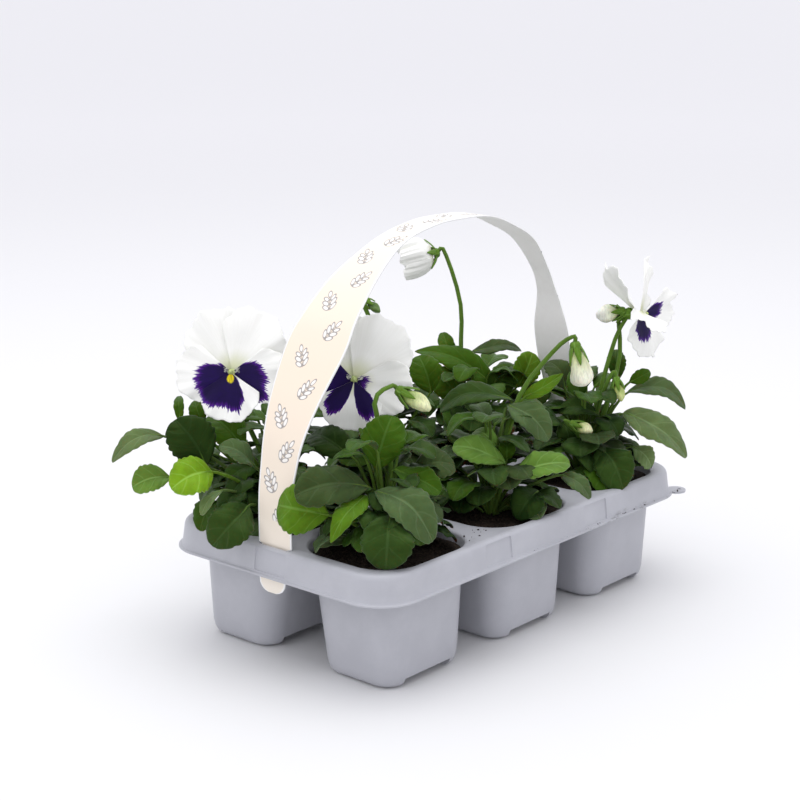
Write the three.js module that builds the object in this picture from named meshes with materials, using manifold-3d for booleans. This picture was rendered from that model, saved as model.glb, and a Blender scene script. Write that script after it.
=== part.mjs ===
// Potted pansy planter: a six-cell bedding tray of grey plastic with a card carrying handle, six
// beds of potting soil, and six pansy plants with their leaves, flowers and buds.
// Millimetres, +Z up. X runs along the tray, Y across it, and the origin is on the surface that
// the tray stands on, under the middle of the tray.
import * as THREE from 'three';
import { mergeVertices } from 'three/addons/utils/BufferGeometryUtils.js';
import Module from 'manifold-3d';

const wasm = await Module();
wasm.setup();

// ---- driving dimensions ------------------------------------------------------------------------

const FLANGE_HALF_X = 140;       // the tray at its widest, the lip of the skirt
const FLANGE_HALF_Y = 83;
const FLANGE_Z = 52.4;           // underside of that lip
const FLANGE_THICK = 1.3;
const FLANGE_RADIUS = 24;
const RIM_Z = 68.5;              // top of the deck
const SKIRT_WALL = 1.6;
const DECK_THICK = 1.6;
const CUP_WALL = 1.2;
const CELL_PITCH_X = 90;
const CELL_Y = 40;               // from the middle of the tray to a row of cell mouths
const CUP_FLOOR = 6.6;           // inside bottom of a cell
const FEET_HEIGHT = 5;           // drainage groove under each cell
const FEET_HALF_GAP = 18.5;
const DRAIN_RADIUS = 3.5;
const SLOT_X = 133;              // slot for the handle's tongue, from the middle of the tray
const SLOT_HALF_X = 1.4;
const SLOT_HALF_Y = 11;
const CLEAR = 0.35;              // gap between two pieces that touch

const SOIL_EDGE = 63.5;          // where the soil meets the wall of its cell
const SOIL_TOP = 65;
const NECK_Z = 58;               // where the leaves and stalks leave the root neck
const CROWN_RADIUS = 4;          // the root neck of a plant, in its hole in the soil
const CROWN_DEPTH = 12;
const PIT_RADIUS = 13;           // mouth of that hole

const CARD_THICK = 0.8;
const BLADE_THICK = 0.8;
const PETAL_THICK = 0.8;
const PETIOLE_RADIUS = 1.15;
const STALK_RADIUS = 1.35;

// ---- materials ---------------------------------------------------------------------------------

const finish = (color, roughness) => new THREE.MeshStandardMaterial({
  color, roughness, metalness: 0, flatShading: true,
});
const PLASTIC = finish(0xb2b5be, 0.5);
const CARD = finish(0xf2e3cd, 0.6);
const SOIL = finish(0x2a211b, 0.95);
const LEAF = finish(0x3f6b34, 0.55);
const PETAL = finish(0xf6f5f2, 0.6);
const BUD = finish(0xe8ecc6, 0.6);

// ---- solids ------------------------------------------------------------------------------------

const rad = THREE.MathUtils.degToRad;

// A closed mesh as a solid that can be joined and cut.
function solid(geometry) {
  const bare = geometry.clone();
  bare.deleteAttribute('normal');
  bare.deleteAttribute('uv');
  const merged = mergeVertices(bare, 1e-4);
  return new wasm.Manifold(new wasm.Mesh({
    numProp: 3,
    vertProperties: new Float32Array(merged.attributes.position.array),
    triVerts: new Uint32Array(merged.index.array),
  }));
}

function join(solids) {
  return solids.reduce((whole, next) => whole.add(next));
}

function geometryOf(body) {
  const { vertProperties, triVerts } = body.getMesh();
  const geometry = new THREE.BufferGeometry();
  geometry.setAttribute('position', new THREE.BufferAttribute(new Float32Array(vertProperties), 3));
  geometry.setIndex(new THREE.BufferAttribute(new Uint32Array(triVerts), 1));
  geometry.computeVertexNormals();
  return geometry;
}

function fromFaces(points, faces) {
  const geometry = new THREE.BufferGeometry();
  geometry.setFromPoints(points);
  geometry.setIndex(faces.flat());
  return geometry;
}

const group = new THREE.Group();

function addNode(name, body, material, place = new THREE.Vector3()) {
  const mesh = new THREE.Mesh(geometryOf(body), material);
  mesh.name = name;
  mesh.position.copy(place);
  group.add(mesh);
  return mesh;
}

// Rings of equal length, counted upwards, skinned into one closed body with flat ends.
function loft(rings) {
  const n = rings[0].length;
  const faces = [];
  for (let k = 0; k + 1 < rings.length; k += 1) {
    for (let i = 0; i < n; i += 1) {
      const a = k * n + i;
      const b = k * n + (i + 1) % n;
      faces.push([a, b, b + n], [a, b + n, a + n]);
    }
  }
  const top = (rings.length - 1) * n;
  let low = 0;
  let high = n - 1;
  for (let step = 0; high - low > 1; step += 1) {
    const next = step % 2 ? high - 1 : low + 1;
    faces.push([low, high, next]);
    faces.push([high, low, next].map((i) => top + i));
    if (step % 2) high = next;
    else low = next;
  }
  return fromFaces(rings.flat(), faces);
}

// One rounded rectangle as a ring of points at height z.
function roundedRing(halfX, halfY, radius, z, centre = [0, 0], steps = 3) {
  const ring = [];
  for (let corner = 0; corner < 4; corner += 1) {
    const sx = corner === 0 || corner === 3 ? 1 : -1;
    const sy = corner < 2 ? 1 : -1;
    for (let i = 0; i <= steps; i += 1) {
      const angle = rad(90 * (corner + i / steps));
      ring.push(new THREE.Vector3(
        centre[0] + sx * (halfX - radius) + radius * Math.cos(angle),
        centre[1] + sy * (halfY - radius) + radius * Math.sin(angle),
        z,
      ));
    }
  }
  return ring;
}

function prism(radius, sides, from, to, x = 0, y = 0) {
  const shape = new THREE.CylinderGeometry(radius, radius, to - from, sides);
  shape.rotateX(Math.PI / 2);
  shape.translate(x, y, (from + to) / 2);
  return solid(shape);
}

function block(halfX, halfY, from, to, x = 0, y = 0) {
  const shape = new THREE.BoxGeometry(2 * halfX, 2 * halfY, to - from);
  shape.translate(x, y, (from + to) / 2);
  return solid(shape);
}

// A stalk of round section along points, with a radius at each.
function rod(points, radii, sides) {
  const tangents = points.map((p, i) => {
    const before = points[Math.max(i - 1, 0)];
    const after = points[Math.min(i + 1, points.length - 1)];
    return after.clone().sub(before).normalize();
  });
  let across = new THREE.Vector3(0.31, 0.95, 0.07).cross(tangents[0]).normalize();
  const rings = points.map((p, i) => {
    across = across.clone().addScaledVector(tangents[i], -across.dot(tangents[i])).normalize();
    const other = tangents[i].clone().cross(across);
    return Array.from({ length: sides }, (_, j) => {
      const angle = (2 * Math.PI * j) / sides;
      return p.clone()
        .addScaledVector(across, radii[i] * Math.cos(angle))
        .addScaledVector(other, radii[i] * Math.sin(angle));
    });
  });
  return solid(loft(rings));
}

// Random numbers from 0 to 1 that are the same in every run.
function seeded(seed) {
  let state = seed;
  return () => {
    state = (state * 1664525 + 1013904223) % 4294967296;
    return state / 4294967296;
  };
}

// ---- tray --------------------------------------------------------------------------------------
// One thin-walled moulding: a deck with six mouths, a skirt that flares down to a lip, and six
// tapered cells that narrow to a pair of feet each.

const cells = [-1, 0, 1].flatMap((column) => [-1, 1].map((row) => ({ column, row })));

// Outside of a cell, from the feet up: half length, half width, corner radius, height, and how
// far its middle lies from the middle of the tray.
const CELL_RINGS = [
  { halfX: 24.6, halfY: 18.5, radius: 7, z: 0, y: 44.1 },
  { halfX: 29.4, halfY: 23.3, radius: 11, z: 2.2, y: 44.1 },
  { halfX: 31.6, halfY: 25.5, radius: 13, z: 8, y: 44 },
  { halfX: 34, halfY: 31.5, radius: 18, z: 53, y: 41.5 },
  { halfX: 38.7, halfY: 35.2, radius: 23, z: RIM_Z - DECK_THICK / 2, y: CELL_Y },
];
const MOUTH = { halfX: 37.5, halfY: 34, radius: 22 };
const [, , CELL_LOW, CELL_SIDE] = CELL_RINGS;

function cellOutside({ column, row }) {
  return solid(loft(CELL_RINGS.map((r) => roundedRing(
    r.halfX, r.halfY, r.radius, r.z, [column * CELL_PITCH_X, row * r.y],
  ))));
}

// One ring of the inside of a cell.
function insideRing({ column, row }, ring, inset, z) {
  return roundedRing(ring.halfX - inset, ring.halfY - inset, ring.radius - inset / 2, z,
    [column * CELL_PITCH_X, row * ring.y]);
}

// The lower rings of the space in a cell: its floor, its rounded foot and its upright side.
function insideRings(cell, inset, floor) {
  return [
    insideRing(cell, CELL_LOW, inset + 3.6, floor),
    insideRing(cell, CELL_LOW, inset - 0.1, floor + 4.5),
    insideRing(cell, CELL_SIDE, inset, CELL_SIDE.z),
  ];
}

function cellSpace(cell) {
  const mouth = { ...MOUTH, y: CELL_Y };
  return solid(loft([
    ...insideRings(cell, CUP_WALL, CUP_FLOOR),
    insideRing(cell, mouth, 0, RIM_Z + 0.01),
    insideRing(cell, mouth, 0, RIM_Z + 1),
  ]));
}

function skirtRing(inset, z, wall = 0) {
  return roundedRing(FLANGE_HALF_X - inset - wall, FLANGE_HALF_Y - inset - wall,
    FLANGE_RADIUS - inset / 2 - wall / 2, z, [0, 0], 4);
}

const skirt = solid(loft([
  skirtRing(0, FLANGE_Z),
  skirtRing(0, FLANGE_Z + FLANGE_THICK),
  skirtRing(1.6, FLANGE_Z + FLANGE_THICK + 0.5),
  skirtRing(3.3, RIM_Z - 1.6),
  skirtRing(3.9, RIM_Z - 0.4),
  skirtRing(5, RIM_Z),
]));
const hollow = solid(loft([
  skirtRing(1.5, FLANGE_Z - 1, SKIRT_WALL),
  skirtRing(1.7, FLANGE_Z + FLANGE_THICK, SKIRT_WALL),
  skirtRing(3.4, RIM_Z - DECK_THICK, SKIRT_WALL),
]));

// Shallow recesses in the skirt, on the long sides between the cells and at the ends, where the
// handle is. The skirt stands back from its lip and leans in, and each recess leans with it.
const SKIRT_FOOT = 1.6;
const SKIRT_LEAN = 1.7;
const RECESS = {
  depth: 0.8, half: 11, reach: 4, bottom: FLANGE_Z + FLANGE_THICK + 0.9, top: RIM_Z - 1.6,
};

// Its place: the way it faces in degrees from -Y, how far out the lip is, and its place along it.
function recess(turn, distance, along) {
  const height = RECESS.top - RECESS.bottom;
  const shape = new THREE.BoxGeometry(2 * RECESS.half, 2 * RECESS.reach, height);
  shape.translate(0, 0, height / 2);
  shape.applyMatrix4(new THREE.Matrix4().makeShear(0, 0, 0, 0, 0, SKIRT_LEAN / height));
  shape.translate(along, SKIRT_FOOT + RECESS.depth - RECESS.reach - distance, RECESS.bottom);
  shape.rotateZ(rad(turn));
  return solid(shape);
}

let tray = skirt.subtract(hollow);
cells.forEach((cell) => {
  tray = tray.add(cellOutside(cell));
});
cells.forEach((cell) => {
  const x = cell.column * CELL_PITCH_X;
  const y = cell.row * CELL_RINGS[0].y;
  tray = tray.subtract(cellSpace(cell));
  tray = tray.subtract(block(FEET_HALF_GAP, 40, -1, FEET_HEIGHT, x, y));
  tray = tray.subtract(prism(DRAIN_RADIUS, 8, FEET_HEIGHT - 1, CUP_FLOOR + 1, x, y));
});
[-1, 1].forEach((side) => {
  tray = tray.subtract(block(SLOT_HALF_X, SLOT_HALF_Y, RIM_Z - 4, RIM_Z + 1, side * SLOT_X, 0));
});
[0, 180].forEach((turn) => {
  tray = tray.subtract(recess(turn + 90, FLANGE_HALF_X, 0));
  tray = tray.subtract(recess(turn, FLANGE_HALF_Y, CELL_PITCH_X / 2));
  tray = tray.subtract(recess(turn, FLANGE_HALF_Y, -CELL_PITCH_X / 2));
});

// A small ear with a pin hole on one corner of the lip.
const EAR = { x: 135, y: -78, radius: 6, hole: 1.1 };
tray = tray.add(prism(EAR.radius, 10, FLANGE_Z, FLANGE_Z + FLANGE_THICK, EAR.x, EAR.y));
tray = tray.subtract(prism(EAR.hole, 6, FLANGE_Z - 1, FLANGE_Z + 3, EAR.x + 1.6, EAR.y - 1.6));
addNode('tray', tray, PLASTIC);

// ---- handle ------------------------------------------------------------------------------------
// One strip of card, bent into an arch over the length of the tray. Each end has shoulders that
// stand on the deck and a rounded tongue that goes down through a slot, inside the skirt.

const TONGUE_BOTTOM = 43.5;
const SHOULDER_Z = RIM_Z + CLEAR;

// Along the strip: x, z and half its width.
const TONGUE = [
  [135.9, TONGUE_BOTTOM, 3.2], [135.8, 45.2, 7], [135.7, 47.6, 9], [135.5, 51, 9.6],
  [133.4, 63, 9.6], [133, SHOULDER_Z - 0.5, 9.6],
];
const ARCH = [
  [-133, SHOULDER_Z, 12], [-132.8, 93, 12], [-129.5, 112, 13], [-125.5, 127, 14.5],
  [-116.5, 146, 17.6], [-100.7, 170, 21], [-89.4, 185, 19], [-72, 201.5, 16],
  [-52, 214.5, 12], [-36, 221.5, 10.3], [-15, 226, 10], [5, 227.3, 10], [35, 225.8, 10],
  [59.5, 217.3, 10], [80, 206.5, 8.4], [96, 188, 6.5], [103, 175, 6.8], [106.5, 164, 9],
  [109.5, 148, 12.5], [114, 128, 12.5], [122, 105, 12], [130, 84, 12], [133, SHOULDER_Z, 12],
];

function strip(stations) {
  const rings = stations.map(([x, z, half], i) => {
    const before = stations[Math.max(i - 1, 0)];
    const after = stations[Math.min(i + 1, stations.length - 1)];
    const run = new THREE.Vector2(after[0] - before[0], after[1] - before[1]).normalize();
    const nx = (-run.y * CARD_THICK) / 2;
    const nz = (run.x * CARD_THICK) / 2;
    return [
      new THREE.Vector3(x - nx, -half, z - nz), new THREE.Vector3(x - nx, half, z - nz),
      new THREE.Vector3(x + nx, half, z + nz), new THREE.Vector3(x + nx, -half, z + nz),
    ];
  });
  return solid(loft(rings));
}

const mirrored = TONGUE.map(([x, z, half]) => [-x, z, half]);
addNode('handle_band', strip([...mirrored, ...ARCH, ...[...TONGUE].reverse()]), CARD);

// ---- soil --------------------------------------------------------------------------------------
// Each cell is filled with potting soil, with one hole for the plant's root neck that opens to a
// shallow pit round its stalks.

function circle(radius, z, [x, y]) {
  return Array.from({ length: 6 }, (_, i) => new THREE.Vector3(
    x + radius * Math.cos(rad(60 * i)), y + radius * Math.sin(rad(60 * i)), z,
  ));
}

function soilBody(cell, seed) {
  const random = seeded(seed);
  const inset = CUP_WALL + CLEAR;
  const middle = new THREE.Vector3(cell.column * CELL_PITCH_X, cell.row * CELL_Y, SOIL_TOP);
  const at = [middle.x, middle.y];
  const mouth = insideRing(cell, { ...MOUTH, y: CELL_Y }, 2 * CLEAR, SOIL_EDGE);
  const share = (SOIL_EDGE - CELL_SIDE.z) / (RIM_Z - CELL_SIDE.z);
  const edge = insideRing(cell, CELL_SIDE, inset + CLEAR, SOIL_EDGE)
    .map((p, i) => p.lerp(mouth[i], share));
  const heap = edge.map((p) => {
    const inner = p.clone().lerp(middle, 0.4);
    inner.z = SOIL_TOP + 1.6 * (random() - 0.5);
    return inner;
  });
  const hole = CROWN_RADIUS + 2 * CLEAR;
  const pit = solid(loft([
    circle(hole, NECK_Z - CROWN_DEPTH - CLEAR, at), circle(hole, NECK_Z - 1, at),
    circle(PIT_RADIUS, SOIL_TOP + 3, at),
  ]));
  return solid(loft([...insideRings(cell, inset, CUP_FLOOR + CLEAR), edge, heap])).subtract(pit);
}

// ---- leaves ------------------------------------------------------------------------------------

// A point of a plant: turn from +X in degrees, reach from its middle, height over its neck.
function polar([turn, reach, height]) {
  return new THREE.Vector3(
    reach * Math.cos(rad(turn)), reach * Math.sin(rad(turn)), height,
  );
}

function facing([turn, lift]) {
  return new THREE.Vector3(
    Math.cos(rad(lift)) * Math.cos(rad(turn)),
    Math.cos(rad(lift)) * Math.sin(rad(turn)),
    Math.sin(rad(lift)),
  );
}

// Half width of a leaf along its length, from its stalk to its tip, as a share of the widest. A
// round leaf is widest past its middle; a long one tapers to a point.
const WIDEST = 0.58;
function leafOutline(s, long) {
  if (long) return Math.sin(Math.PI * s ** 0.85) ** 0.7;
  if (s < WIDEST) return Math.sin((Math.PI / 2) * (s / WIDEST)) ** 0.9;
  return Math.sqrt(1 - ((s - WIDEST) / (1 - WIDEST + 0.01)) ** 2);
}

// A broad leaf has four blunt teeth on each side, a small one has two.
function teethFor(width) {
  if (width >= 21) return 4;
  return width >= 12 ? 3 : 2;
}

// Triangles between a chain of midrib points and a chain of edge points that end in one point.
function zip(ribs, rim, flip) {
  const faces = [];
  const add = (p, q, r) => faces.push(flip ? [p.i, r.i, q.i] : [p.i, q.i, r.i]);
  const lastRib = ribs.length - 1;
  const lastRim = rim.length - 1;
  let a = 0;
  let b = 0;
  while (a < lastRib - 1 || b < lastRim - 1) {
    const ribNext = a < lastRib - 1 && ribs[a + 1].s < rim[b + 1].s;
    if (b === lastRim - 1 || ribNext) {
      add(ribs[a], rim[b], ribs[a + 1]);
      a += 1;
    } else {
      add(ribs[a], rim[b], rim[b + 1]);
      b += 1;
    }
  }
  add(ribs[a], rim[b], ribs[lastRib]);
  return faces;
}

// The path of a leaf's stalk, from the side of the root neck to its blade.
function petiolePath(neck) {
  const end = polar(neck);
  const start = polar([neck[0], CROWN_RADIUS - 1.6, 1 + 0.09 * neck[2]]);
  const bend = new THREE.Vector3(end.x * 0.4, end.y * 0.4, start.z + (end.z - start.z) * 0.72);
  return new THREE.QuadraticBezierCurve3(start, bend, end);
}

// A leaf with its stalk: a three-sided stalk that opens into a blade with blunt teeth, an arched
// midrib and raised sides, the same triangles above and below.
function leafBody({ neck, tip, width, face, arch = 3, fold = 0.18, long = false }) {
  const start = polar(neck);
  const along = polar(tip).sub(start);
  const length = along.length();
  along.normalize();
  const up = facing(face ?? [neck[0] + 180, 70]);
  up.addScaledVector(along, -up.dot(along)).normalize();
  const across = up.clone().cross(along);

  const points = [];
  const put = (s, at) => {
    points.push(at);
    return { s, i: points.length - 1 };
  };
  const path = petiolePath(neck);
  const steps = 2;
  for (let k = 0; k < steps; k += 1) {
    const at = path.getPoint(k / steps);
    const run = path.getTangent(k / steps);
    const side = across.clone().addScaledVector(run, -across.dot(run)).normalize();
    const over = run.clone().cross(side);
    const r = PETIOLE_RADIUS * (1.15 - 0.2 * k);
    put(0, at.clone().addScaledVector(side, r));
    put(0, at.clone().addScaledVector(side, -r));
    put(0, at.clone().addScaledVector(over, -1.3 * r));
  }
  const faces = [[0, 2, 1]];
  for (let k = 0; k < steps; k += 1) {
    for (let j = 0; j < 3; j += 1) {
      const p = 3 * k + j;
      const q = 3 * k + (j + 1) % 3;
      faces.push([p, q, q + 3], [p, q + 3, p + 3]);
    }
  }

  const place = (s, v) => start.clone()
    .addScaledVector(along, s * length)
    .addScaledVector(across, v)
    .addScaledVector(up, 4 * arch * s * (1 - s) + fold * Math.abs(v) - 0.012 * v * v);
  const below = (p) => p.clone().addScaledVector(up, -BLADE_THICK);
  const right = [put(0, place(0, 0.9))];
  const left = [put(0, place(0, -0.9))];
  const under = put(0, place(0, 0).addScaledVector(up, -1.3));
  const rightUnder = [under];
  const leftUnder = [under];
  const teeth = teethFor(width);
  for (let i = 1; i < 2 * teeth; i += 1) {
    const notch = i % 2 === 0;
    const s = i / (2 * teeth) - (notch ? 0.012 : 0);
    const half = Math.max(0.5 * width * leafOutline(s, long) * (notch ? 0.83 : 1), 0.9);
    right.push(put(s, place(s, half)));
    rightUnder.push(put(s, below(place(s, half))));
    left.push(put(s, place(s, -half)));
    leftUnder.push(put(s, below(place(s, -half))));
  }
  const ribs = [];
  const ribsUnder = [];
  (teeth > 3 ? [0.3, 0.62, 1] : [0.45, 1]).forEach((s) => {
    ribs.push(put(s, place(s, 0)));
    ribsUnder.push(put(s, below(place(s, 0))));
  });
  const end = ribs[ribs.length - 1];
  const endUnder = ribsUnder[ribs.length - 1];
  [right, left].forEach((rim) => rim.push(end));
  [rightUnder, leftUnder].forEach((rim) => rim.push(endUnder));
  faces.push([right[0].i, left[0].i, ribs[0].i]);
  faces.push(...zip(ribs, right, true), ...zip(ribs, left, false));
  faces.push(...zip(ribsUnder, rightUnder, false), ...zip(ribsUnder, leftUnder, true));
  const wall = (top, low, flip) => {
    for (let k = 0; k + 1 < top.length; k += 1) {
      const [p, q, r, t] = [top[k].i, top[k + 1].i, low[k + 1].i, low[k].i];
      faces.push(...(flip ? [[p, r, q], [p, t, r]] : [[p, q, r], [p, r, t]]));
    }
  };
  wall(right, rightUnder, false);
  wall(left, leftUnder, true);
  return solid(fromFaces(points, faces));
}

// A leaf of a plant's inside: the next one round the plant, with a seeded draw.
function innerLeaf(random, i, {
  count, low = 17, high = 50, reach = 12, turn = 0, span = 360, broad = 17, droop = 0,
}) {
  const around = turn + (span * (i + random())) / count;
  const height = low + (high - low) * ((i * 0.618 + 0.3 * random()) % 1);
  const out = reach * (0.8 + 0.5 * random());
  const length = 19 + 6 * random();
  return {
    neck: [around, out, height],
    tip: [around + 16 * (random() - 0.5), out + length, height + 5 * (random() - 0.5) - droop],
    width: broad + 3.5 * random(),
  };
}

// ---- flowers and buds --------------------------------------------------------------------------

// The frame of a flower: its eye, the way it faces, and its upright direction.
function flowerFrame({ eye, face, tilt = 0 }) {
  const forward = facing(face);
  const up = new THREE.Vector3(0, 0, 1).addScaledVector(forward, -forward.z).normalize();
  up.applyAxisAngle(forward, rad(tilt));
  const side = up.clone().cross(forward);
  const frame = new THREE.Matrix4().makeBasis(side, up, forward);
  return frame.setPosition(polar(eye));
}

// One petal. Its middle points to an angle from upright; it opens from the flower's axis, and it
// may be twisted about its middle.
function petal({
  angle, radius, half, open = 90, twist = 0, layer = 0, ruffle = 0.9, turns = 2, lap = 0,
  columns = 6,
}) {
  const slope = rad(open);
  const middleTurn = rad(90 - angle);
  const start = 1.4;
  const top = [];
  const under = [];
  const put = (share, u) => {
    const turn = rad(half * u);
    const reach = radius * (1 - 0.3 * Math.abs(u) ** 2.6);
    const r = start + (reach - start) * share;
    const wave = ruffle * share ** 2 * Math.sin(turns * Math.PI * u + angle);
    const lift = layer + wave;
    const out = r * Math.sin(slope) + lap * u * share - lift * Math.cos(slope);
    const rise = r * Math.cos(slope) + lift * Math.sin(slope);
    const p = new THREE.Vector3(out * Math.cos(turn), out * Math.sin(turn), rise);
    const inward = new THREE.Vector3(
      -Math.cos(slope) * Math.cos(turn), -Math.cos(slope) * Math.sin(turn), Math.sin(slope),
    );
    [p, inward].forEach((v) => v.applyAxisAngle(X_AXIS, rad(twist)).applyAxisAngle(Z_AXIS, middleTurn));
    top.push(p);
    under.push(p.clone().addScaledVector(inward, -PETAL_THICK));
    return top.length - 1;
  };
  const steps = Array.from({ length: columns + 1 }, (_, i) => (2 * i) / columns - 1);
  const claw = [-1, 0, 1].map((u) => put(0, u));
  const middle = steps.map((u) => put(0.55, u));
  const edge = steps.map((u) => put(1, u));

  const upper = [];
  let held = 0;
  for (let i = 0; i < columns; i += 1) {
    const hold = Math.min(2, Math.floor((3 * i) / columns));
    if (hold > held) upper.push([claw[held], middle[i], claw[hold]]);
    held = hold;
    upper.push([claw[held], middle[i], middle[i + 1]]);
    upper.push([middle[i], edge[i], edge[i + 1]], [middle[i], edge[i + 1], middle[i + 1]]);
  }
  const n = top.length;
  const lower = upper.map(([p, q, r]) => [p + n, r + n, q + n]);
  const loop = [...claw, middle[columns], ...[...edge].reverse(), middle[0]];
  const wall = loop.flatMap((p, i) => {
    const q = loop[(i + 1) % loop.length];
    return [[p, q, q + n], [p, q + n, p + n]];
  });
  return solid(fromFaces([...top, ...under], [...upper, ...lower, ...wall]));
}

const X_AXIS = new THREE.Vector3(1, 0, 0);
const Z_AXIS = new THREE.Vector3(0, 0, 1);
const HEART_BACK = -3.6;         // back of the middle of a flower, where the calyx holds it
const HEART_RADIUS = 3;

// An open pansy: two upper petals at the back, one at each side, and the lip in front. Each has its
// own angle from upright, opening and twist.
const FLAT_FACE = [[-30, 97], [30, 94], [-98, 88], [98, 88], [180, 84]];
function bloomBody({ size = 1, spreads = FLAT_FACE, raised = 0 }) {
  const petals = [
    { radius: 37, half: 46, layer: -2.6 },
    { radius: 37, half: 46, layer: -1.1 },
    { radius: 31, half: 38, layer: 0.5 },
    { radius: 31, half: 38, layer: 0.5 },
    { radius: 27, half: 56, layer: 2.1 },
  ];
  const heart = prism(HEART_RADIUS, 5, HEART_BACK, 3 + raised);
  return join([heart, ...petals.map((p, i) => petal({
    ...p,
    radius: p.radius * size,
    layer: p.layer + raised,
    angle: spreads[i][0],
    open: spreads[i][1],
    twist: spreads[i][2],
  }))]);
}

// A half-open flower whose petals still lap round each other.
function halfOpenBody({ length = 21 }) {
  const heart = prism(HEART_RADIUS + 0.4, 5, HEART_BACK, 5.4);
  const petals = Array.from({ length: 5 }, (_, i) => petal({
    angle: 72 * i, radius: length, half: 41, open: 38, ruffle: 0.25, lap: 1.5, columns: 4,
  }));
  return join([heart, ...petals]);
}

// A closed bud: petals rolled round each other, drawn as a ribbed point.
function budBody({ length, radius }) {
  const sides = 7;
  const profile = [[0, 0.34], [0.22, 0.8], [0.5, 1], [0.78, 0.78], [1, 0.26]];
  const rings = profile.map(([t, share]) => Array.from({ length: sides }, (_, i) => {
    const angle = (2 * Math.PI * i) / sides;
    const r = radius * share * (1 + 0.13 * Math.cos(3 * angle + 4 * t));
    return new THREE.Vector3(r * Math.cos(angle), r * Math.sin(angle), HEART_BACK + t * length);
  }));
  return solid(loft(rings));
}

// The green cup behind a flower or bud, with five pointed sepals.
function calyx(flower) {
  const { sepal = 11, spread = 102, cup = 3.2 } = flower;
  const back = HEART_BACK - CLEAR;
  const parts = [prism(cup, 5, back - 4, back)];
  for (let i = 0; i < 5; i += 1) {
    const turn = rad(72 * i + 18);
    const lean = rad(spread);
    const out = new THREE.Vector3(Math.cos(turn), Math.sin(turn), 0);
    const side = new THREE.Vector3(-Math.sin(turn), Math.cos(turn), 0);
    const run = out.clone().multiplyScalar(Math.sin(lean));
    run.z = Math.cos(lean);
    const keel = out.clone().multiplyScalar(Math.cos(lean));
    keel.z = -Math.sin(lean);
    const root = out.clone().multiplyScalar(0.62 * cup);
    root.z = back - 1.9;
    const outline = [[-0.05, 0.36], [0.42, 0.55], [1, 0.15]];
    const rings = outline.map(([t, half]) => {
      const at = root.clone().addScaledVector(run, t * sepal);
      return [
        at.clone().addScaledVector(keel, 1.1), at.clone().addScaledVector(side, half * cup),
        at.clone().addScaledVector(side, -half * cup),
      ];
    });
    parts.push(solid(loft(rings)));
  }
  return join(parts).transform(flowerFrame(flower).elements);
}

// The stalk of a flower, from the root neck over its bend into the calyx.
function stalk(flower) {
  const frame = flowerFrame(flower);
  const inCup = new THREE.Vector3(0, 0, HEART_BACK - CLEAR - 2.5).applyMatrix4(frame);
  const behind = new THREE.Vector3(0, 0, HEART_BACK - CLEAR - 7).applyMatrix4(frame);
  const way = flower.way.map(polar);
  const path = new THREE.CatmullRomCurve3([
    new THREE.Vector3(0, 0, 3), ...way, behind, inCup,
  ]);
  const steps = 6;
  const thick = flower.thick ?? STALK_RADIUS;
  const points = path.getPoints(steps);
  return rod(points, points.map((_, i) => thick * (1.25 - (0.35 * i) / steps)), 4);
}

// ---- plants ------------------------------------------------------------------------------------
// Places are polar in each plant: turn, reach and height. Faces are turn and lift.

const VIEWER = [222, 20];
const LOW_LEAF = { count: 1, reach: 19, low: 16, high: 34, broad: 20, droop: 6 };

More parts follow.
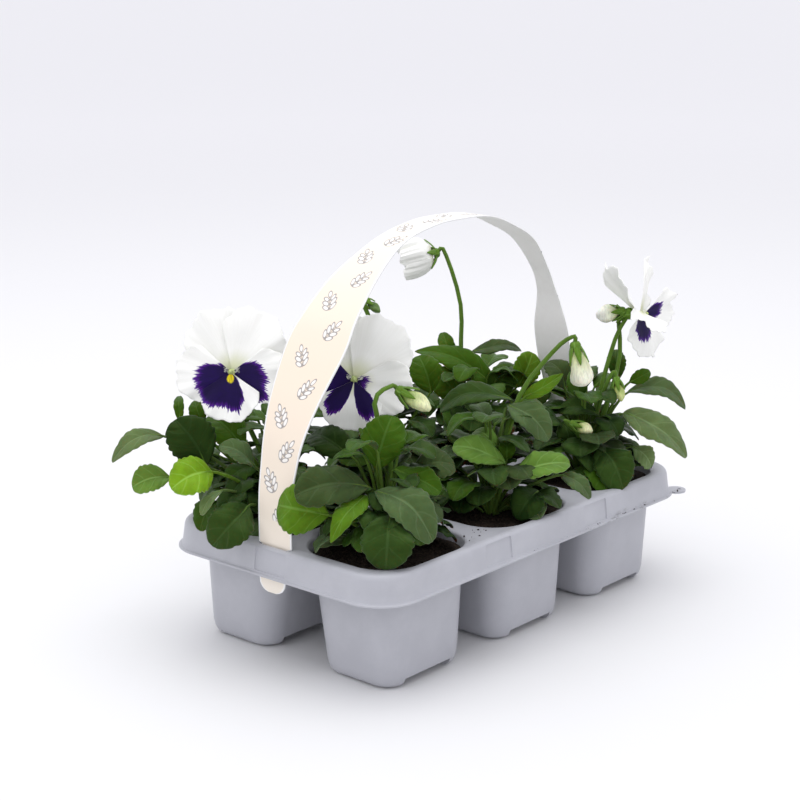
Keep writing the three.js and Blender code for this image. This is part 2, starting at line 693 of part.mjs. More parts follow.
const plants = [
  {
    name: 'back_left',
    cell: { column: -1, row: 1 },
    seed: 11,
    leaves: [
      { neck: [145, 63, 59], tip: [150, 92, 50], width: 13, arch: 6, face: [250, 60], long: true },
      { neck: [170, 47, 45], tip: [160, 60, 71], width: 27, arch: 2, face: VIEWER },
      { neck: [180, 50, 45], tip: [175, 71, 43], width: 20, face: [235, 50] },
      { neck: [155, 61, 38], tip: [155, 83, 36], width: 17, face: [230, 45] },
      { neck: [185, 46, 35], tip: [185, 64, 27], width: 8 },
      { neck: [205, 47, 29], tip: [196, 70, 16], width: 25, face: [228, 38] },
      { neck: [205, 36, 47], tip: [186, 46, 61], width: 15, face: [260, 50] },
      { neck: [175, 23, 51], tip: [135, 37, 68], width: 22, face: [235, 20] },
      { neck: [125, 41, 60], tip: [120, 47, 73], width: 10, face: VIEWER },
      { neck: [135, 53, 62], tip: [125, 55, 77], width: 6, face: VIEWER },
      { neck: [75, 33, 40], tip: [82, 60, 36], width: 20 },
      { neck: [105, 36, 26], tip: [100, 60, 20], width: 20.5 },
    ],
    inner: [{ count: 6, turn: 20, span: 300, high: 46 }, { ...LOW_LEAF, turn: 250 }],
  },
  {
    name: 'front_left',
    cell: { column: -1, row: -1 },
    seed: 12,
    leaves: [
      { neck: [190, 16, 45], tip: [166, 56, 47], width: 25, face: [235, 48], arch: 4 },
      { neck: [200, 18, 44], tip: [250, 47, 32], width: 24, face: [232, 50], arch: 4 },
      { neck: [225, 31, 36], tip: [221, 49, 15], width: 28, face: [225, 42] },
      { neck: [176, 41, 35], tip: [155, 62, 39], width: 27, face: [222, 15] },
      { neck: [190, 20, 42], tip: [187, 50, 30], width: 14, face: [215, 55], long: true },
      { neck: [160, 6, 51], tip: [310, 3, 79], width: 24, face: [222, 10], arch: 2 },
      { neck: [275, 4, 52], tip: [285, 31, 44], width: 16, face: [215, 60] },
      { neck: [350, 17, 45], tip: [325, 36, 52], width: 20, face: [230, 45] },
      { neck: [95, 21, 53], tip: [100, 48, 66], width: 20, face: [210, 50] },
      { neck: [130, 13, 12], tip: [138, 39, 11], width: 9, face: [215, 65], arch: 0.5 },
    ],
    inner: [{ count: 6, turn: 250, span: 220, high: 46 }, { ...LOW_LEAF, turn: 330 }],
  },
  {
    name: 'back_mid',
    cell: { column: 0, row: 1 },
    seed: 13,
    leaves: [
      { neck: [310, 27, 62], tip: [320, 20, 84], width: 20, face: VIEWER, arch: 2 },
      { neck: [195, 21, 51], tip: [180, 43, 42], width: 18, face: [220, 50] },
      { neck: [60, 30, 38], tip: [66, 66, 34], width: 22 },
      { neck: [110, 30, 48], tip: [114, 56, 42], width: 20 },
      { neck: [85, 18, 60], tip: [80, 42, 66], width: 18 },
    ],
    inner: [{ count: 9, turn: 0, high: 58 }],
  },
  {
    name: 'front_mid',
    cell: { column: 0, row: -1 },
    seed: 14,
    leaves: [
      { neck: [245, 17, 39], tip: [166, 26, 51], width: 21, face: [218, 60] },
      { neck: [250, 22, 34], tip: [285, 46, 42], width: 19, face: [232, 55] },
      { neck: [265, 6, 45], tip: [105, 11, 54], width: 10, face: [225, 50] },
      { neck: [260, 12, 38], tip: [280, 9, 49], width: 10, face: VIEWER },
      { neck: [220, 18, 32], tip: [185, 25, 34], width: 6 },
      { neck: [290, 40, 32], tip: [285, 59, 25], width: 12, face: [240, 45] },
      { neck: [280, 30, 23], tip: [245, 33, 14], width: 20, face: [225, 40] },
      { neck: [345, 10, 67], tip: [290, 33, 56], width: 20, face: [232, 48] },
      { neck: [345, 15, 69], tip: [120, 29, 71], width: 17, face: [228, 62] },
      { neck: [330, 18, 71], tip: [325, 41, 84], width: 9, face: [250, 40], long: true },
    ],
    inner: [{ count: 6, turn: 300, span: 260, high: 48 }, { ...LOW_LEAF, turn: 150 }],
  },
  {
    name: 'back_right',
    cell: { column: 1, row: 1 },
    seed: 15,
    leaves: [
      { neck: [305, 9, 50], tip: [130, 39, 75], width: 20, face: [232, 40], arch: 5, long: true },
      { neck: [310, 23, 49], tip: [316, 33, 71], width: 18, face: VIEWER, arch: 2 },
      { neck: [60, 15, 69], tip: [345, 32, 75], width: 12, face: [250, 60], long: true },
      { neck: [110, 20, 60], tip: [100, 27, 82], width: 11, face: VIEWER },
      { neck: [15, 46, 40], tip: [12, 84, 34], width: 23 },
      { neck: [50, 34, 30], tip: [48, 64, 22], width: 20.5 },
      { neck: [90, 30, 44], tip: [86, 60, 38], width: 20 },
      { neck: [30, 24, 56], tip: [26, 52, 60], width: 18 },
    ],
    inner: [{ count: 6, turn: 60, span: 250, high: 52 }],
  },
  {
    name: 'front_right',
    cell: { column: 1, row: -1 },
    seed: 16,
    leaves: [
      { neck: [290, 24, 49], tip: [286, 65, 30], width: 24, face: [245, 48], arch: 5, long: true },
      { neck: [320, 26, 58], tip: [310, 61, 56], width: 16, face: [250, 55], long: true },
      { neck: [240, 21, 31], tip: [245, 46, 15], width: 25, face: [222, 38] },
      { neck: [300, 29, 27], tip: [295, 42, 17], width: 14, face: [235, 40] },
      { neck: [335, 23, 64], tip: [350, 25, 82], width: 12, face: VIEWER },
      { neck: [320, 27, 64], tip: [315, 39, 71], width: 9, face: VIEWER },
      { neck: [180, 13, 30], tip: [170, 16, 43], width: 14, face: VIEWER },
      { neck: [195, 24, 16], tip: [222, 36, 14], width: 12, face: [230, 50] },
      { neck: [285, 10, 46], tip: [150, 16, 51], width: 14, face: [225, 55] },
      { neck: [345, 38, 34], tip: [350, 66, 26], width: 22 },
      { neck: [20, 30, 50], tip: [12, 52, 52], width: 16 },
    ],
    inner: [{ count: 5, turn: 310, span: 240, high: 48 }, { ...LOW_LEAF, turn: 130 }],
  },
];

const flowers = [
  {
    name: 'bloom_back_left', plant: 'back_left', kind: 'bloom', size: 1,
    eye: [162, 27, 94], face: [212, 12], tilt: 0,
    way: [[120, 8, 40], [125, 24, 78]],
  },
  {
    name: 'bloom_front_left', plant: 'front_left', kind: 'bloom', size: 1.04,
    eye: [62, 50, 88], face: [226, 4], tilt: -10,
    way: [[55, 18, 40], [60, 58, 70]],
  },
  {
    name: 'bloom_front_right', plant: 'front_right', kind: 'bloom', size: 1,
    spreads: [[-14, 118, 30], [34, 84], [-135, 58, 56], [75, 56], [196, 86, 30]], raised: 2.6,
    spread: 150, sepal: 9,
    eye: [328, 33, 104.5], face: [298, 2], tilt: -8,
    way: [[300, 10, 40], [330, 22, 76], [345, 25, 99]],
  },
  {
    name: 'bud_back_right_tall', plant: 'back_right', kind: 'half_open', length: 23,
    eye: [108, 36, 131], face: [131, -14], spread: 56, sepal: 9,
    way: [[110, 12, 60], [90, 16, 100]],
  },
  {
    name: 'bud_front_left', plant: 'front_left', kind: 'bud', length: 17, radius: 4.6,
    eye: [5, 20, 86], face: [311, -32], spread: 26, sepal: 11,
    way: [[10, 5, 50], [80, 10, 84]],
  },
  {
    name: 'bud_front_mid', plant: 'front_mid', kind: 'bud', length: 21, radius: 6.4,
    eye: [315, 47, 96], face: [300, -78], spread: 30, sepal: 9,
    way: [[335, 14, 66], [322, 34, 97]],
  },
  {
    name: 'bud_front_right_pale', plant: 'front_right', kind: 'bud', length: 14, radius: 4.4,
    eye: [345, 20, 105], face: [131, -8], spread: 24, sepal: 9, thick: 1.6,
    way: [[330, 8, 50], [335, 20, 90]],
  },
  {
    name: 'bud_front_right_low', plant: 'front_right', kind: 'bud', length: 11, radius: 3.1,
    eye: [285, 21, 63], face: [290, -75], spread: 18, sepal: 8, cup: 2.4,
    way: [[290, 6, 40], [280, 14, 66]],
  },
  {
    name: 'bud_front_right_inner', plant: 'front_right', kind: 'bud', length: 10, radius: 3.6,
    eye: [212, 23, 43], face: [300, -20], spread: 20, sepal: 7, cup: 2.6,
    way: [[200, 8, 26], [205, 20, 38]],
  },
  {
    name: 'bud_back_mid', plant: 'back_mid', kind: 'bud', length: 9, radius: 2.8,
    eye: [65, 18, 111], face: [320, -40], spread: 18, sepal: 6, cup: 2.3, thick: 1.1,
    way: [[60, 6, 50], [70, 16, 98]],
  },
];

const bodyOf = { bloom: bloomBody, half_open: halfOpenBody, bud: budBody };

function rootOf({ cell }) {
  return new THREE.Vector3(cell.column * CELL_PITCH_X, cell.row * CELL_Y, NECK_Z);
}

// A plant's own solid, without the leaves of its inside.
function plantBody(plant) {
  const own = flowers.filter((flower) => flower.plant === plant.name);
  return join([
    prism(CROWN_RADIUS, 6, -CROWN_DEPTH, 7),
    ...plant.leaves.map(leafBody),
    ...own.flatMap((flower) => [stalk(flower), calyx(flower)]),
  ]);
}

flowers.forEach((flower) => {
  const root = rootOf(plants.find((plant) => plant.name === flower.plant));
  const material = flower.kind === 'bud' ? BUD : PETAL;
  const mesh = addNode(flower.name, bodyOf[flower.kind](flower), material);
  const frame = flowerFrame(flower);
  mesh.quaternion.setFromRotationMatrix(frame);
  mesh.position.setFromMatrixPosition(frame).add(root);
});

// The leaves inside the plants stand where nothing else does.
const bodies = plants.map((plant) => plantBody(plant).translate(rootOf(plant).toArray()));
const TRIES = 40;
const MOST_CROSSING = 2;         // cubic millimetres that a new leaf may share with its own plant
function crownZone(root) {
  return prism(12, 8, root.z, root.z + 16, root.x, root.y);
}
plants.forEach((plant, k) => {
  const root = rootOf(plant);
  const others = [tray, ...bodies.filter((_, j) => j !== k)];
  plant.inner.forEach((set, part) => {
    const random = seeded(plant.seed + 100 * part);
    let placed = 0;
    for (let i = 0; i < TRIES && placed < set.count; i += 1) {
      const leaf = leafBody(innerLeaf(random, i, set)).translate(root.toArray());
      const crossing = leaf.intersect(bodies[k]).subtract(crownZone(root)).volume();
      if (crossing < MOST_CROSSING && others.every((other) => leaf.intersect(other).isEmpty())) {
        bodies[k] = bodies[k].add(leaf);
        placed += 1;
      }
    }
  });
  addNode(`soil_${plant.name}`, soilBody(plant.cell, plant.seed), SOIL);
  addNode(`foliage_${plant.name}`, bodies[k], LEAF);
});

export default group;
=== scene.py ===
import random
from math import cos, pi, radians, sin, sqrt

import bpy
import numpy as np
from mathutils import Matrix, Vector


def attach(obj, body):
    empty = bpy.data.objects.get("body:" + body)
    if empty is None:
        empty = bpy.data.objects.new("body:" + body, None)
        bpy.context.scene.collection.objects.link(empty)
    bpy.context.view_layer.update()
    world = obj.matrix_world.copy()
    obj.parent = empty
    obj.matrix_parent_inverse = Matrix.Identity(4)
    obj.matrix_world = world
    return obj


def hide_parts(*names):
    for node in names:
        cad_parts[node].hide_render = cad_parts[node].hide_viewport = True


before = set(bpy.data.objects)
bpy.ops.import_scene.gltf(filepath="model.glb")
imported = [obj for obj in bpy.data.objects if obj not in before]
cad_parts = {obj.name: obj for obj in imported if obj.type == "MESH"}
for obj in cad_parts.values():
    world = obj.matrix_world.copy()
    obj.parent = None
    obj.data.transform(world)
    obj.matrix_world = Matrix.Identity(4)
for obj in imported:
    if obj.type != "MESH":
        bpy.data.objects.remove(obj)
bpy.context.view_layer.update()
bpy.ops.object.select_all(action="DESELECT")

# ---- Studio ------------------------------------------------------------------------------------
# A pale floor under an even pale sky, with one wide lamp overhead and a weaker one from the left,
# and the camera where the photograph was taken. The floor is painted darker near the tray and
# lighter far out, a painted falloff of the light.

DOWNWARDS = 0.245
HEADING = 0.713
camera = bpy.data.objects.new("camera", bpy.data.cameras.new("camera"))
camera.location = (-0.7419, -0.6130, 0.3632)
camera.rotation_euler = (pi / 2 - DOWNWARDS, 0, HEADING - pi / 2)
camera.data.sensor_width = 36
camera.data.lens = 77.7
camera.data.clip_end = 200
bpy.context.scene.collection.objects.link(camera)
bpy.context.scene.camera = camera
bpy.context.scene.view_settings.view_transform = "Standard"

sky = bpy.data.worlds.new("pale_sky")
sky.use_nodes = True
sky.node_tree.nodes["Background"].inputs["Color"].default_value = (0.93, 0.93, 0.985, 1)
sky.node_tree.nodes["Background"].inputs["Strength"].default_value = 1.0
bpy.context.scene.world = sky

for name, place, size, watts, aim in [
    ("lamp_overhead", (0.0, 0.08, 1.5), 1.7, 13, (0, 0, 0.05)),
    ("lamp_left", (-1.6, 0.2, 1.1), 1.2, 2, (0, 0, 0.1)),
]:
    lamp = bpy.data.objects.new(name, bpy.data.lights.new(name, "AREA"))
    lamp.data.size = size
    lamp.data.energy = watts
    lamp.location = place
    lamp.rotation_euler = (Vector(aim) - Vector(place)).to_track_quat("-Z", "Y").to_euler()
    bpy.context.scene.collection.objects.link(lamp)


# What a node gives out. Sums written with such values wire the nodes for them.
class Value:
    def __init__(self, socket):
        self.socket, self.tree = socket, socket.id_data

    def __add__(self, other):
        return joined("ADD", self, other)

    def __sub__(self, other):
        return joined("SUBTRACT", self, other)

    def __rsub__(self, other):
        return joined("SUBTRACT", other, self)

    def __mul__(self, other):
        return joined("MULTIPLY", self, other)

    def __truediv__(self, other):
        return joined("DIVIDE", self, other)

    def __abs__(self):
        return joined("ABSOLUTE", self)


# Adds a node to a material or group, wires or sets the given inputs, by number or name, and gives
# the output of that number or name, or several.
def node(tree, kind, inputs=(), out=0, **settings):
    made = tree.nodes.new(kind)
    for key, value in settings.items():
        setattr(made, key, value)
    for key, value in dict(inputs).items():
        if isinstance(value, Value):
            tree.links.new(value.socket, made.inputs[key])
        else:
            made.inputs[key].default_value = value
    if isinstance(out, tuple):
        return [Value(made.outputs[key]) for key in out]
    return Value(made.outputs[out])


def joined(operation, a, b=0.0, clamp=False):
    tree = (a if isinstance(a, Value) else b).tree
    return node(tree, "ShaderNodeMath", {0: a, 1: b}, operation=operation, use_clamp=clamp)


# A value's step from 0 at `low` to 1 at `high`, with soft ends, or from 1 to 0 where low is above.
def ramp(value, low, high):
    return node(value.tree, "ShaderNodeMapRange", {0: value, 1: low, 2: high, 3: 0.0, 4: 1.0},
                interpolation_type="SMOOTHSTEP")


def blend(share, a, b):
    a, b = (c if isinstance(c, Value) else (*c, 1) for c in (a, b))
    return node(share.tree, "ShaderNodeMix", {0: share, 6: a, 7: b}, 2, data_type="RGBA")


def noise(place, scale, detail=2.0, rough=0.5):
    return node(place.tree, "ShaderNodeTexNoise", {
        "Vector": place, "Scale": scale, "Detail": detail, "Roughness": rough}, "Fac")


def split(place):
    return node(place.tree, "ShaderNodeSeparateXYZ", {0: place}, (0, 1, 2))


def here(tree):
    return node(tree, "ShaderNodeTexCoord", out="Object")


def marked(tree, name, out):
    return node(tree, "ShaderNodeAttribute", out=out, attribute_name=name)


def bump(height, distance, strength=1.0):
    return node(height.tree, "ShaderNodeBump", {
        "Height": height, "Distance": distance, "Strength": strength})


def surface(name, roughness, **constants):
    material = bpy.data.materials.new(name)
    material.use_nodes = True
    shader = material.node_tree.nodes["Principled BSDF"]
    shader.inputs["Roughness"].default_value = roughness
    for key, value in constants.items():
        shader.inputs[key.replace("_", " ")].default_value = value
    return material, material.node_tree, shader


def finish(shader, value, socket="Base Color"):
    shader.id_data.links.new(value.socket, shader.inputs[socket])


# An effect that several finishes share: its named inputs and outputs, and the nodes between them.
def effect(name, inputs, outputs, wire):
    group = bpy.data.node_groups.new(name, "ShaderNodeTree")
    for way, sockets in (("INPUT", inputs), ("OUTPUT", outputs)):
        for socket in sockets:
            kind = "Vector" if socket in ("Place", "Normal") else "Float"
            group.interface.new_socket(socket, in_out=way, socket_type="NodeSocket" + kind)
    node(group, "NodeGroupOutput", wire(*node(group, "NodeGroupInput", out=inputs)), ())
    return group


# The floor is painted darker near the tray and lighter far out: a painted falloff of the studio light.
floor_painted_falloff, tree, shader = surface("floor_painted_falloff", 0.7)
reach = node(tree, "ShaderNodeVectorMath", {0: here(tree)}, "Value", operation="LENGTH")
finish(shader, blend(ramp(reach, 0.2, 3.5), (0.77, 0.77, 0.77), (0.915, 0.91, 0.915)))
bpy.ops.mesh.primitive_circle_add(vertices=96, radius=60, fill_type="NGON")
studio_floor = bpy.context.object
studio_floor.name = "studio_floor"
studio_floor.data.materials.append(floor_painted_falloff)

# ---- Tray --------------------------------------------------------------------------------------
# One moulding of light blue-grey plastic: a deck with six round-cornered mouths, a skirt that
# flares to a lip, and six tapered cells on feet. It came out of its mould with soft edges, and
# potting soil has rubbed off along the lip.

# In millimetres: half the tray's length and width, the heights of its deck and lip, its wall, and how
# far the columns are from each other, and the mouths, feet and slots from the middle.
MM = 0.001
HALF_LENGTH = 140
HALF_WIDTH = 83
RIM = 68.5
LIP = 52.4
WALL = 1.6
PITCH = 90
ROW = 40
FOOT_ROW = 44.1
SLOT = 133
CELLS = [(column, row) for column in (-1, 0, 1) for row in (-1, 1)]


# A grid of faces, each corner moved to the place that `place` gives for its two shares.
def grid(name, columns, rows, place):
    bpy.ops.object.select_all(action="DESELECT")
    bpy.ops.mesh.primitive_grid_add(x_subdivisions=columns, y_subdivisions=rows, size=2)
    piece = bpy.context.object
    piece.name = name
    flat = corners(piece)
    settle(piece, place((flat[:, 0] + 1) / 2, (flat[:, 1] + 1) / 2))
    return piece


def corners(piece):
    flat = np.empty(3 * len(piece.data.vertices))
    piece.data.vertices.foreach_get("co", flat)
    return flat.reshape(-1, 3)


def settle(piece, places):
    piece.data.vertices.foreach_set("co", np.asarray(places, float).ravel())
    piece.data.update()


def pick(*pieces):
    bpy.ops.object.select_all(action="DESELECT")
    for piece in pieces:
        piece.select_set(True)
    bpy.context.view_layer.objects.active = pieces[0]


def in_edit(piece, *steps):
    pick(piece)
    bpy.ops.object.mode_set(mode="EDIT")
    for step in steps:
        bpy.ops.mesh.select_all(action="SELECT")
        step()
    bpy.ops.object.mode_set(mode="OBJECT")


def finish_with(piece, kind, **settings):
    pick(piece)
    modifier = piece.modifiers.new(kind.lower(), kind)
    for key, value in settings.items():
        setattr(modifier, key, value)
    bpy.ops.object.modifier_apply(modifier=modifier.name)


def turn_outwards():
    bpy.ops.mesh.normals_make_consistent(inside=False)


def clad(piece, *materials):
    piece.data.materials.clear()
    for material in materials:
        piece.data.materials.append(material)


def smooth(piece):
    in_edit(piece, lambda: bpy.ops.mesh.faces_shade_smooth())


# A grid rolled up into a closed body through rings of equal length, in millimetres.
def rolled(name, rings):
    rings = np.array(rings)
    count = rings.shape[1]

    def place(u, v):
        around = np.rint(u * count).astype(int) % count
        level = np.rint(v * (len(rings) - 1)).astype(int)
        return rings[level, around] * MM

    piece = grid(name, count, len(rings) - 1, place)
    in_edit(piece, lambda: bpy.ops.mesh.remove_doubles(threshold=1e-7),
            lambda: bpy.ops.mesh.fill_holes(sides=0), turn_outwards)
    return piece


def rounded_ring(half_x, half_y, radius, z, centre=(0, 0), steps=9):
    ring = []
    for corner in range(4):
        sx = 1 if corner in (0, 3) else -1
        sy = 1 if corner < 2 else -1
        for i in range(steps + 1):
            angle = radians(90 * (corner + i / steps))
            ring.append((centre[0] + sx * (half_x - radius) + radius * cos(angle),
                         centre[1] + sy * (half_y - radius) + radius * sin(angle), z))
    return ring


def carve(body, tool, operation="DIFFERENCE"):
    finish_with(body, "BOOLEAN", object=tool, operation=operation, solver="MANIFOLD")
    bpy.data.objects.remove(tool)


def skirt_ring(inset, z, wall=0):
    inset = inset + wall
    return rounded_ring(HALF_LENGTH - inset, HALF_WIDTH - inset, 24 - inset / 2, z, steps=16)


def block(half_x, half_y, low, high, x, y):
    bpy.ops.mesh.primitive_cube_add(size=1)
    piece = bpy.context.object
    size = Matrix.Diagonal((2 * half_x * MM, 2 * half_y * MM, (high - low) * MM, 1))
    piece.data.transform(Matrix.Translation(Vector((x, y, (low + high) / 2)) * MM) @ size)
    return piece


def post(radius, low, high, x, y, sides=32):
    bpy.ops.mesh.primitive_cylinder_add(vertices=sides, radius=radius * MM, depth=(high - low) * MM)
    piece = bpy.context.object
    piece.data.transform(Matrix.Translation(Vector((x, y, (low + high) / 2)) * MM))
    return piece


# The outside of a cell: height, half length, half width, corner radius, distance of its middle.
CELL_OUTSIDE = [
    (0, 24.6, 18.5, 7, FOOT_ROW), (0.5, 26.8, 20.7, 9, FOOT_ROW), (1.2, 28.4, 22.3, 10, FOOT_ROW),
    (2.4, 29.8, 23.7, 11.2, FOOT_ROW), (4.4, 30.8, 24.7, 12.2, 44.05), (8, 31.6, 25.5, 13, 44),
    (30, 32.8, 28.5, 15.5, 42.8), (53, 34, 31.5, 18, 41.5), (RIM - 0.8, 38.7, 35.2, 23, ROW),
]
# The space in it, from its floor to its mouth, which is rounded over onto the deck.
CELL_INSIDE = [
    (6.6, 26.8, 20.7, 10, 44), (7.4, 28.9, 22.8, 11, 44), (11.1, 30.5, 24.4, 12.4, 44),
    (53, 32.8, 30.3, 17.4, 41.5), (RIM - 1.7, 37.4, 33.9, 22, ROW), (RIM - 1.1, 37.6, 34.1, 22.1, ROW),
    (RIM - 0.5, 38.05, 34.55, 22.4, ROW), (RIM - 0.12, 38.7, 35.2, 22.8, ROW),
    (RIM, 39.1, 35.6, 23, ROW), (RIM + 1, 39.1, 35.6, 23, ROW),
]


def cell_body(name, rings, column, row):
    return rolled(name, [rounded_ring(x, y, r, z, (column * PITCH, row * mid))
                         for z, x, y, r, mid in rings])


tray = rolled("tray_moulding", [skirt_ring(inset, z) for inset, z in [
    (0.3, LIP), (0, LIP + 0.3), (0, LIP + 1), (0.3, LIP + 1.3), (1.2, LIP + 1.6), (1.7, LIP + 2.4),
    (2.2, LIP + 6), (3.0, RIM - 3.2), (3.4, RIM - 1.7), (4.0, RIM - 0.8), (4.9, RIM - 0.2), (6.2, RIM),
]])
carve(tray, rolled("hollow", [skirt_ring(inset, z, WALL) for inset, z in [
    (1.5, LIP - 1), (1.7, LIP + 1.3), (3.4, RIM - 1.6)]]))
for column, row in CELLS:
    carve(tray, cell_body("cell", CELL_OUTSIDE, column, row), "UNION")
for column, row in CELLS:
    carve(tray, cell_body("space", CELL_INSIDE, column, row))
    carve(tray, block(18.5, 40, -1, 5, column * PITCH, row * FOOT_ROW))
    carve(tray, post(3.5, 4, 8, column * PITCH, row * FOOT_ROW))
for side in (-1, 1):
    carve(tray, block(1.4, 11, RIM - 4, RIM + 1, side * SLOT, 0))
# Shallow recesses in the skirt, which lean as it does: two on a long side and one on a short side.
RECESS_FOOT = LIP + 2.2
SKIRT_LEAN = 1.7 / 12.3
for turn, out, along in [
        (0, HALF_WIDTH, 45), (0, HALF_WIDTH, -45), (90, HALF_LENGTH, 0),
        (180, HALF_WIDTH, 45), (180, HALF_WIDTH, -45), (270, HALF_LENGTH, 0)]:
    recess = block(11, 4, RECESS_FOOT, RIM - 1.6, along, 2.4 - 4 - out)
    lean = Matrix.Identity(4)
    lean[1][2] = SKIRT_LEAN
    lean[1][3] = -SKIRT_LEAN * RECESS_FOOT * MM
    recess.data.transform(Matrix.Rotation(radians(turn), 4, "Z") @ lean)
    finish_with(recess, "BEVEL", width=0.6 * MM, segments=3)
    carve(tray, recess)
carve(tray, post(6, LIP, LIP + 1.3, 135, -78), "UNION")
carve(tray, post(1.1, LIP - 1, LIP + 3, 136.6, -79.6))
pick(tray)
bpy.ops.object.shade_smooth_by_angle(angle=radians(32))


# Patches and fine grain, which most of the finishes below use at scales of their own.
def patchy_nodes(place, scale, low, high):
    return {"Mask": ramp(noise(place, scale, 4, 0.6), low, high)}


def grain_nodes(place, scale, depth):
    speckle = noise(place, scale, 3, 0.6)
    return {"Speckle": speckle, "Normal": bump(speckle, depth)}


PATCHY = effect("patchy", ("Place", "Scale", "Low", "High"), ("Mask",), patchy_nodes)
GRAIN = effect("fine_grain", ("Place", "Scale", "Depth"), ("Speckle", "Normal"), grain_nodes)


def patchy(tree, scale, low=0.35, high=0.7):
    return node(tree, "ShaderNodeGroup", {
        "Place": here(tree), "Scale": scale, "Low": low, "High": high}, "Mask", node_tree=PATCHY)


# Bumps a finish with grain and gives its speckle.
def grained(tree, shader, scale, depth):
    speckle, bumped = node(tree, "ShaderNodeGroup", {
        "Place": here(tree), "Scale": scale, "Depth": depth}, ("Speckle", "Normal"), node_tree=GRAIN)
    finish(shader, bumped, "Normal")
    return speckle


tray_plastic, tree, shader = surface("tray_plastic", 0.42, Specular_IOR_Level=0.4)
place = here(tree)
x, y, z = split(place)
mottle = patchy(tree, 55.0)
along_lip = ramp(x, 0.005, 0.07) * (ramp(y, -0.0775, -0.0800) * (1 - ramp(z, 0.0535, 0.0575)))
on_deck = ramp(z, 0.0672, 0.0682) * 0.22
stretched = node(tree, "ShaderNodeMapping", {"Vector": place, "Scale": (90, 260, 260)})
scuffs = ramp(noise(stretched, 1.0, 6, 0.75), 0.52, 0.72)
smudge = joined("MULTIPLY", scuffs, joined("MAXIMUM", along_lip, on_deck), True)
clean = blend(mottle, (0.425, 0.43, 0.465), (0.455, 0.46, 0.495))
finish(shader, blend(smudge * 0.85, clean, (0.06, 0.05, 0.045)))
finish(shader, mottle * 0.08 + 0.38, "Roughness")
grained(tree, shader, 900.0, 0.00005)
clad(tray, tray_plastic)
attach(tray, "root")
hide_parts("tray")

# ---- Carry band --------------------------------------------------------------------------------
# One strip of coated card bent into an arch over the tray. It is cream with a white edge and small
# grey sprigs outside, plain pale grey inside, and each end goes through its slot in the deck.

TONGUE = [(135.9, 43.5, 3.2), (135.85, 44.2, 5.4), (135.8, 45.2, 7.1), (135.7, 47.6, 9),
          (135.5, 51, 9.6), (133.4, 63, 9.6), (133, 68.35, 9.6)]
ARCH = [
    (-133, 68.85, 12), (-132.8, 93, 12), (-129.5, 112, 13), (-125.5, 127, 14.5),
    (-116.5, 146, 17.6), (-100.7, 170, 21), (-89.4, 185, 19), (-72, 201.5, 16),
    (-52, 214.5, 12), (-36, 221.5, 10.3), (-15, 226, 10), (5, 227.3, 10), (35, 225.8, 10),
    (59.5, 217.3, 10), (80, 206.5, 8.4), (96, 188, 6.5), (103, 175, 6.8), (106.5, 164, 9),
    (109.5, 148, 12.5), (114, 128, 12.5), (122, 105, 12), (130, 84, 12), (133, 68.85, 12),
]


# Points on a smooth curve through the given ones, `per_piece` of them from each to the next.
def smooth_run(points, per_piece=24):
    points = np.array(points, float)
    ends = np.vstack([2 * points[0] - points[1], points, 2 * points[-1] - points[-2]])
    made = []
    for a, b, c, d in zip(ends, ends[1:], ends[2:], ends[3:]):
        t = np.linspace(0, 1, per_piece, endpoint=False)[:, None]
        made.append(0.5 * (2 * b + (c - a) * t + (2 * a - 5 * b + 4 * c - d) * t**2
                           + (3 * b - a - 3 * c + d) * t**3))
    return np.vstack([*made, points[-1:]])


tongue = np.array(TONGUE)
strip = np.vstack([tongue * (-1, 1, 1), smooth_run(ARCH), tongue[::-1]])
walked = np.concatenate([[0], np.cumsum(np.hypot(*np.diff(strip[:, :2], axis=0).T))])
BAND_ROWS = 860
BAND_COLUMNS = 36


def strip_at(share):
    return [np.interp(share * walked[-1], walked, strip[:, i]) for i in range(3)]


band = grid("carry_band", BAND_COLUMNS, BAND_ROWS, lambda u, v: np.column_stack([
    strip_at(v)[0], (2 * u - 1) * strip_at(v)[2], strip_at(v)[1]]) * MM)
finish_with(band, "SOLIDIFY", thickness=0.7 * MM, offset=0)
in_edit(band, turn_outwards)


def mark(piece, name, kind, key, values):
    layer = piece.data.attributes.new(name, kind, "POINT")
    layer.data.foreach_set(key, np.asarray(values, np.float32).ravel())


# Where each corner lies on the strip: along it, off its middle and half its width, in millimetres.
uv = np.empty(2 * len(band.data.loops))
band.data.uv_layers[0].data.foreach_get("uv", uv)
loop_corner = np.empty(len(band.data.loops), int)
band.data.loops.foreach_get("vertex_index", loop_corner)
share = np.empty((len(band.data.vertices), 2))
share[loop_corner] = uv.reshape(-1, 2)
run = share[:, 1] * walked[-1]
half = strip_at(share[:, 1])[2]
mark(band, "strip", "FLOAT_VECTOR", "vector", np.column_stack([run, (2 * share[:, 0] - 1) * half, half]))
mark(band, "warmth", "FLOAT", "value", np.interp(
    run, [0, 60, 120, 210, 300, walked[-1] - 120, walked[-1]], [0.35, 0.75, 1.0, 0.55, 0.1, 0.8, 0.4]))

card_print, tree, shader = surface("card_print", 0.45, Specular_IOR_Level=0.35)
walk, aside, edge = split(marked(tree, "strip", "Vector"))
warmth = marked(tree, "warmth", "Fac")

# The sprigs, one every 17 mm, by turns left and right of the middle and leaning the other way: a
# stem, three pairs of leaves and one at the tip, white with a thin grey outline.
SPRIG_STEP = 17.0
BARE_END = 40.0
LEAN = radians(30)
count = walk / SPRIG_STEP
turns = joined("FRACT", joined("FLOOR", count) * 0.5) * 4.0 - 1.0
ahead = (joined("FRACT", count) - 0.5) * SPRIG_STEP
beside = aside - turns * (edge * 0.30)
x = ahead * cos(LEAN) + turns * (beside * sin(LEAN))
y = abs(beside * cos(LEAN) - turns * (ahead * sin(LEAN)))


def length_of(a, b):
    return joined("SQRT", joined("POWER", abs(a), 2.0) + joined("POWER", abs(b), 2.0))


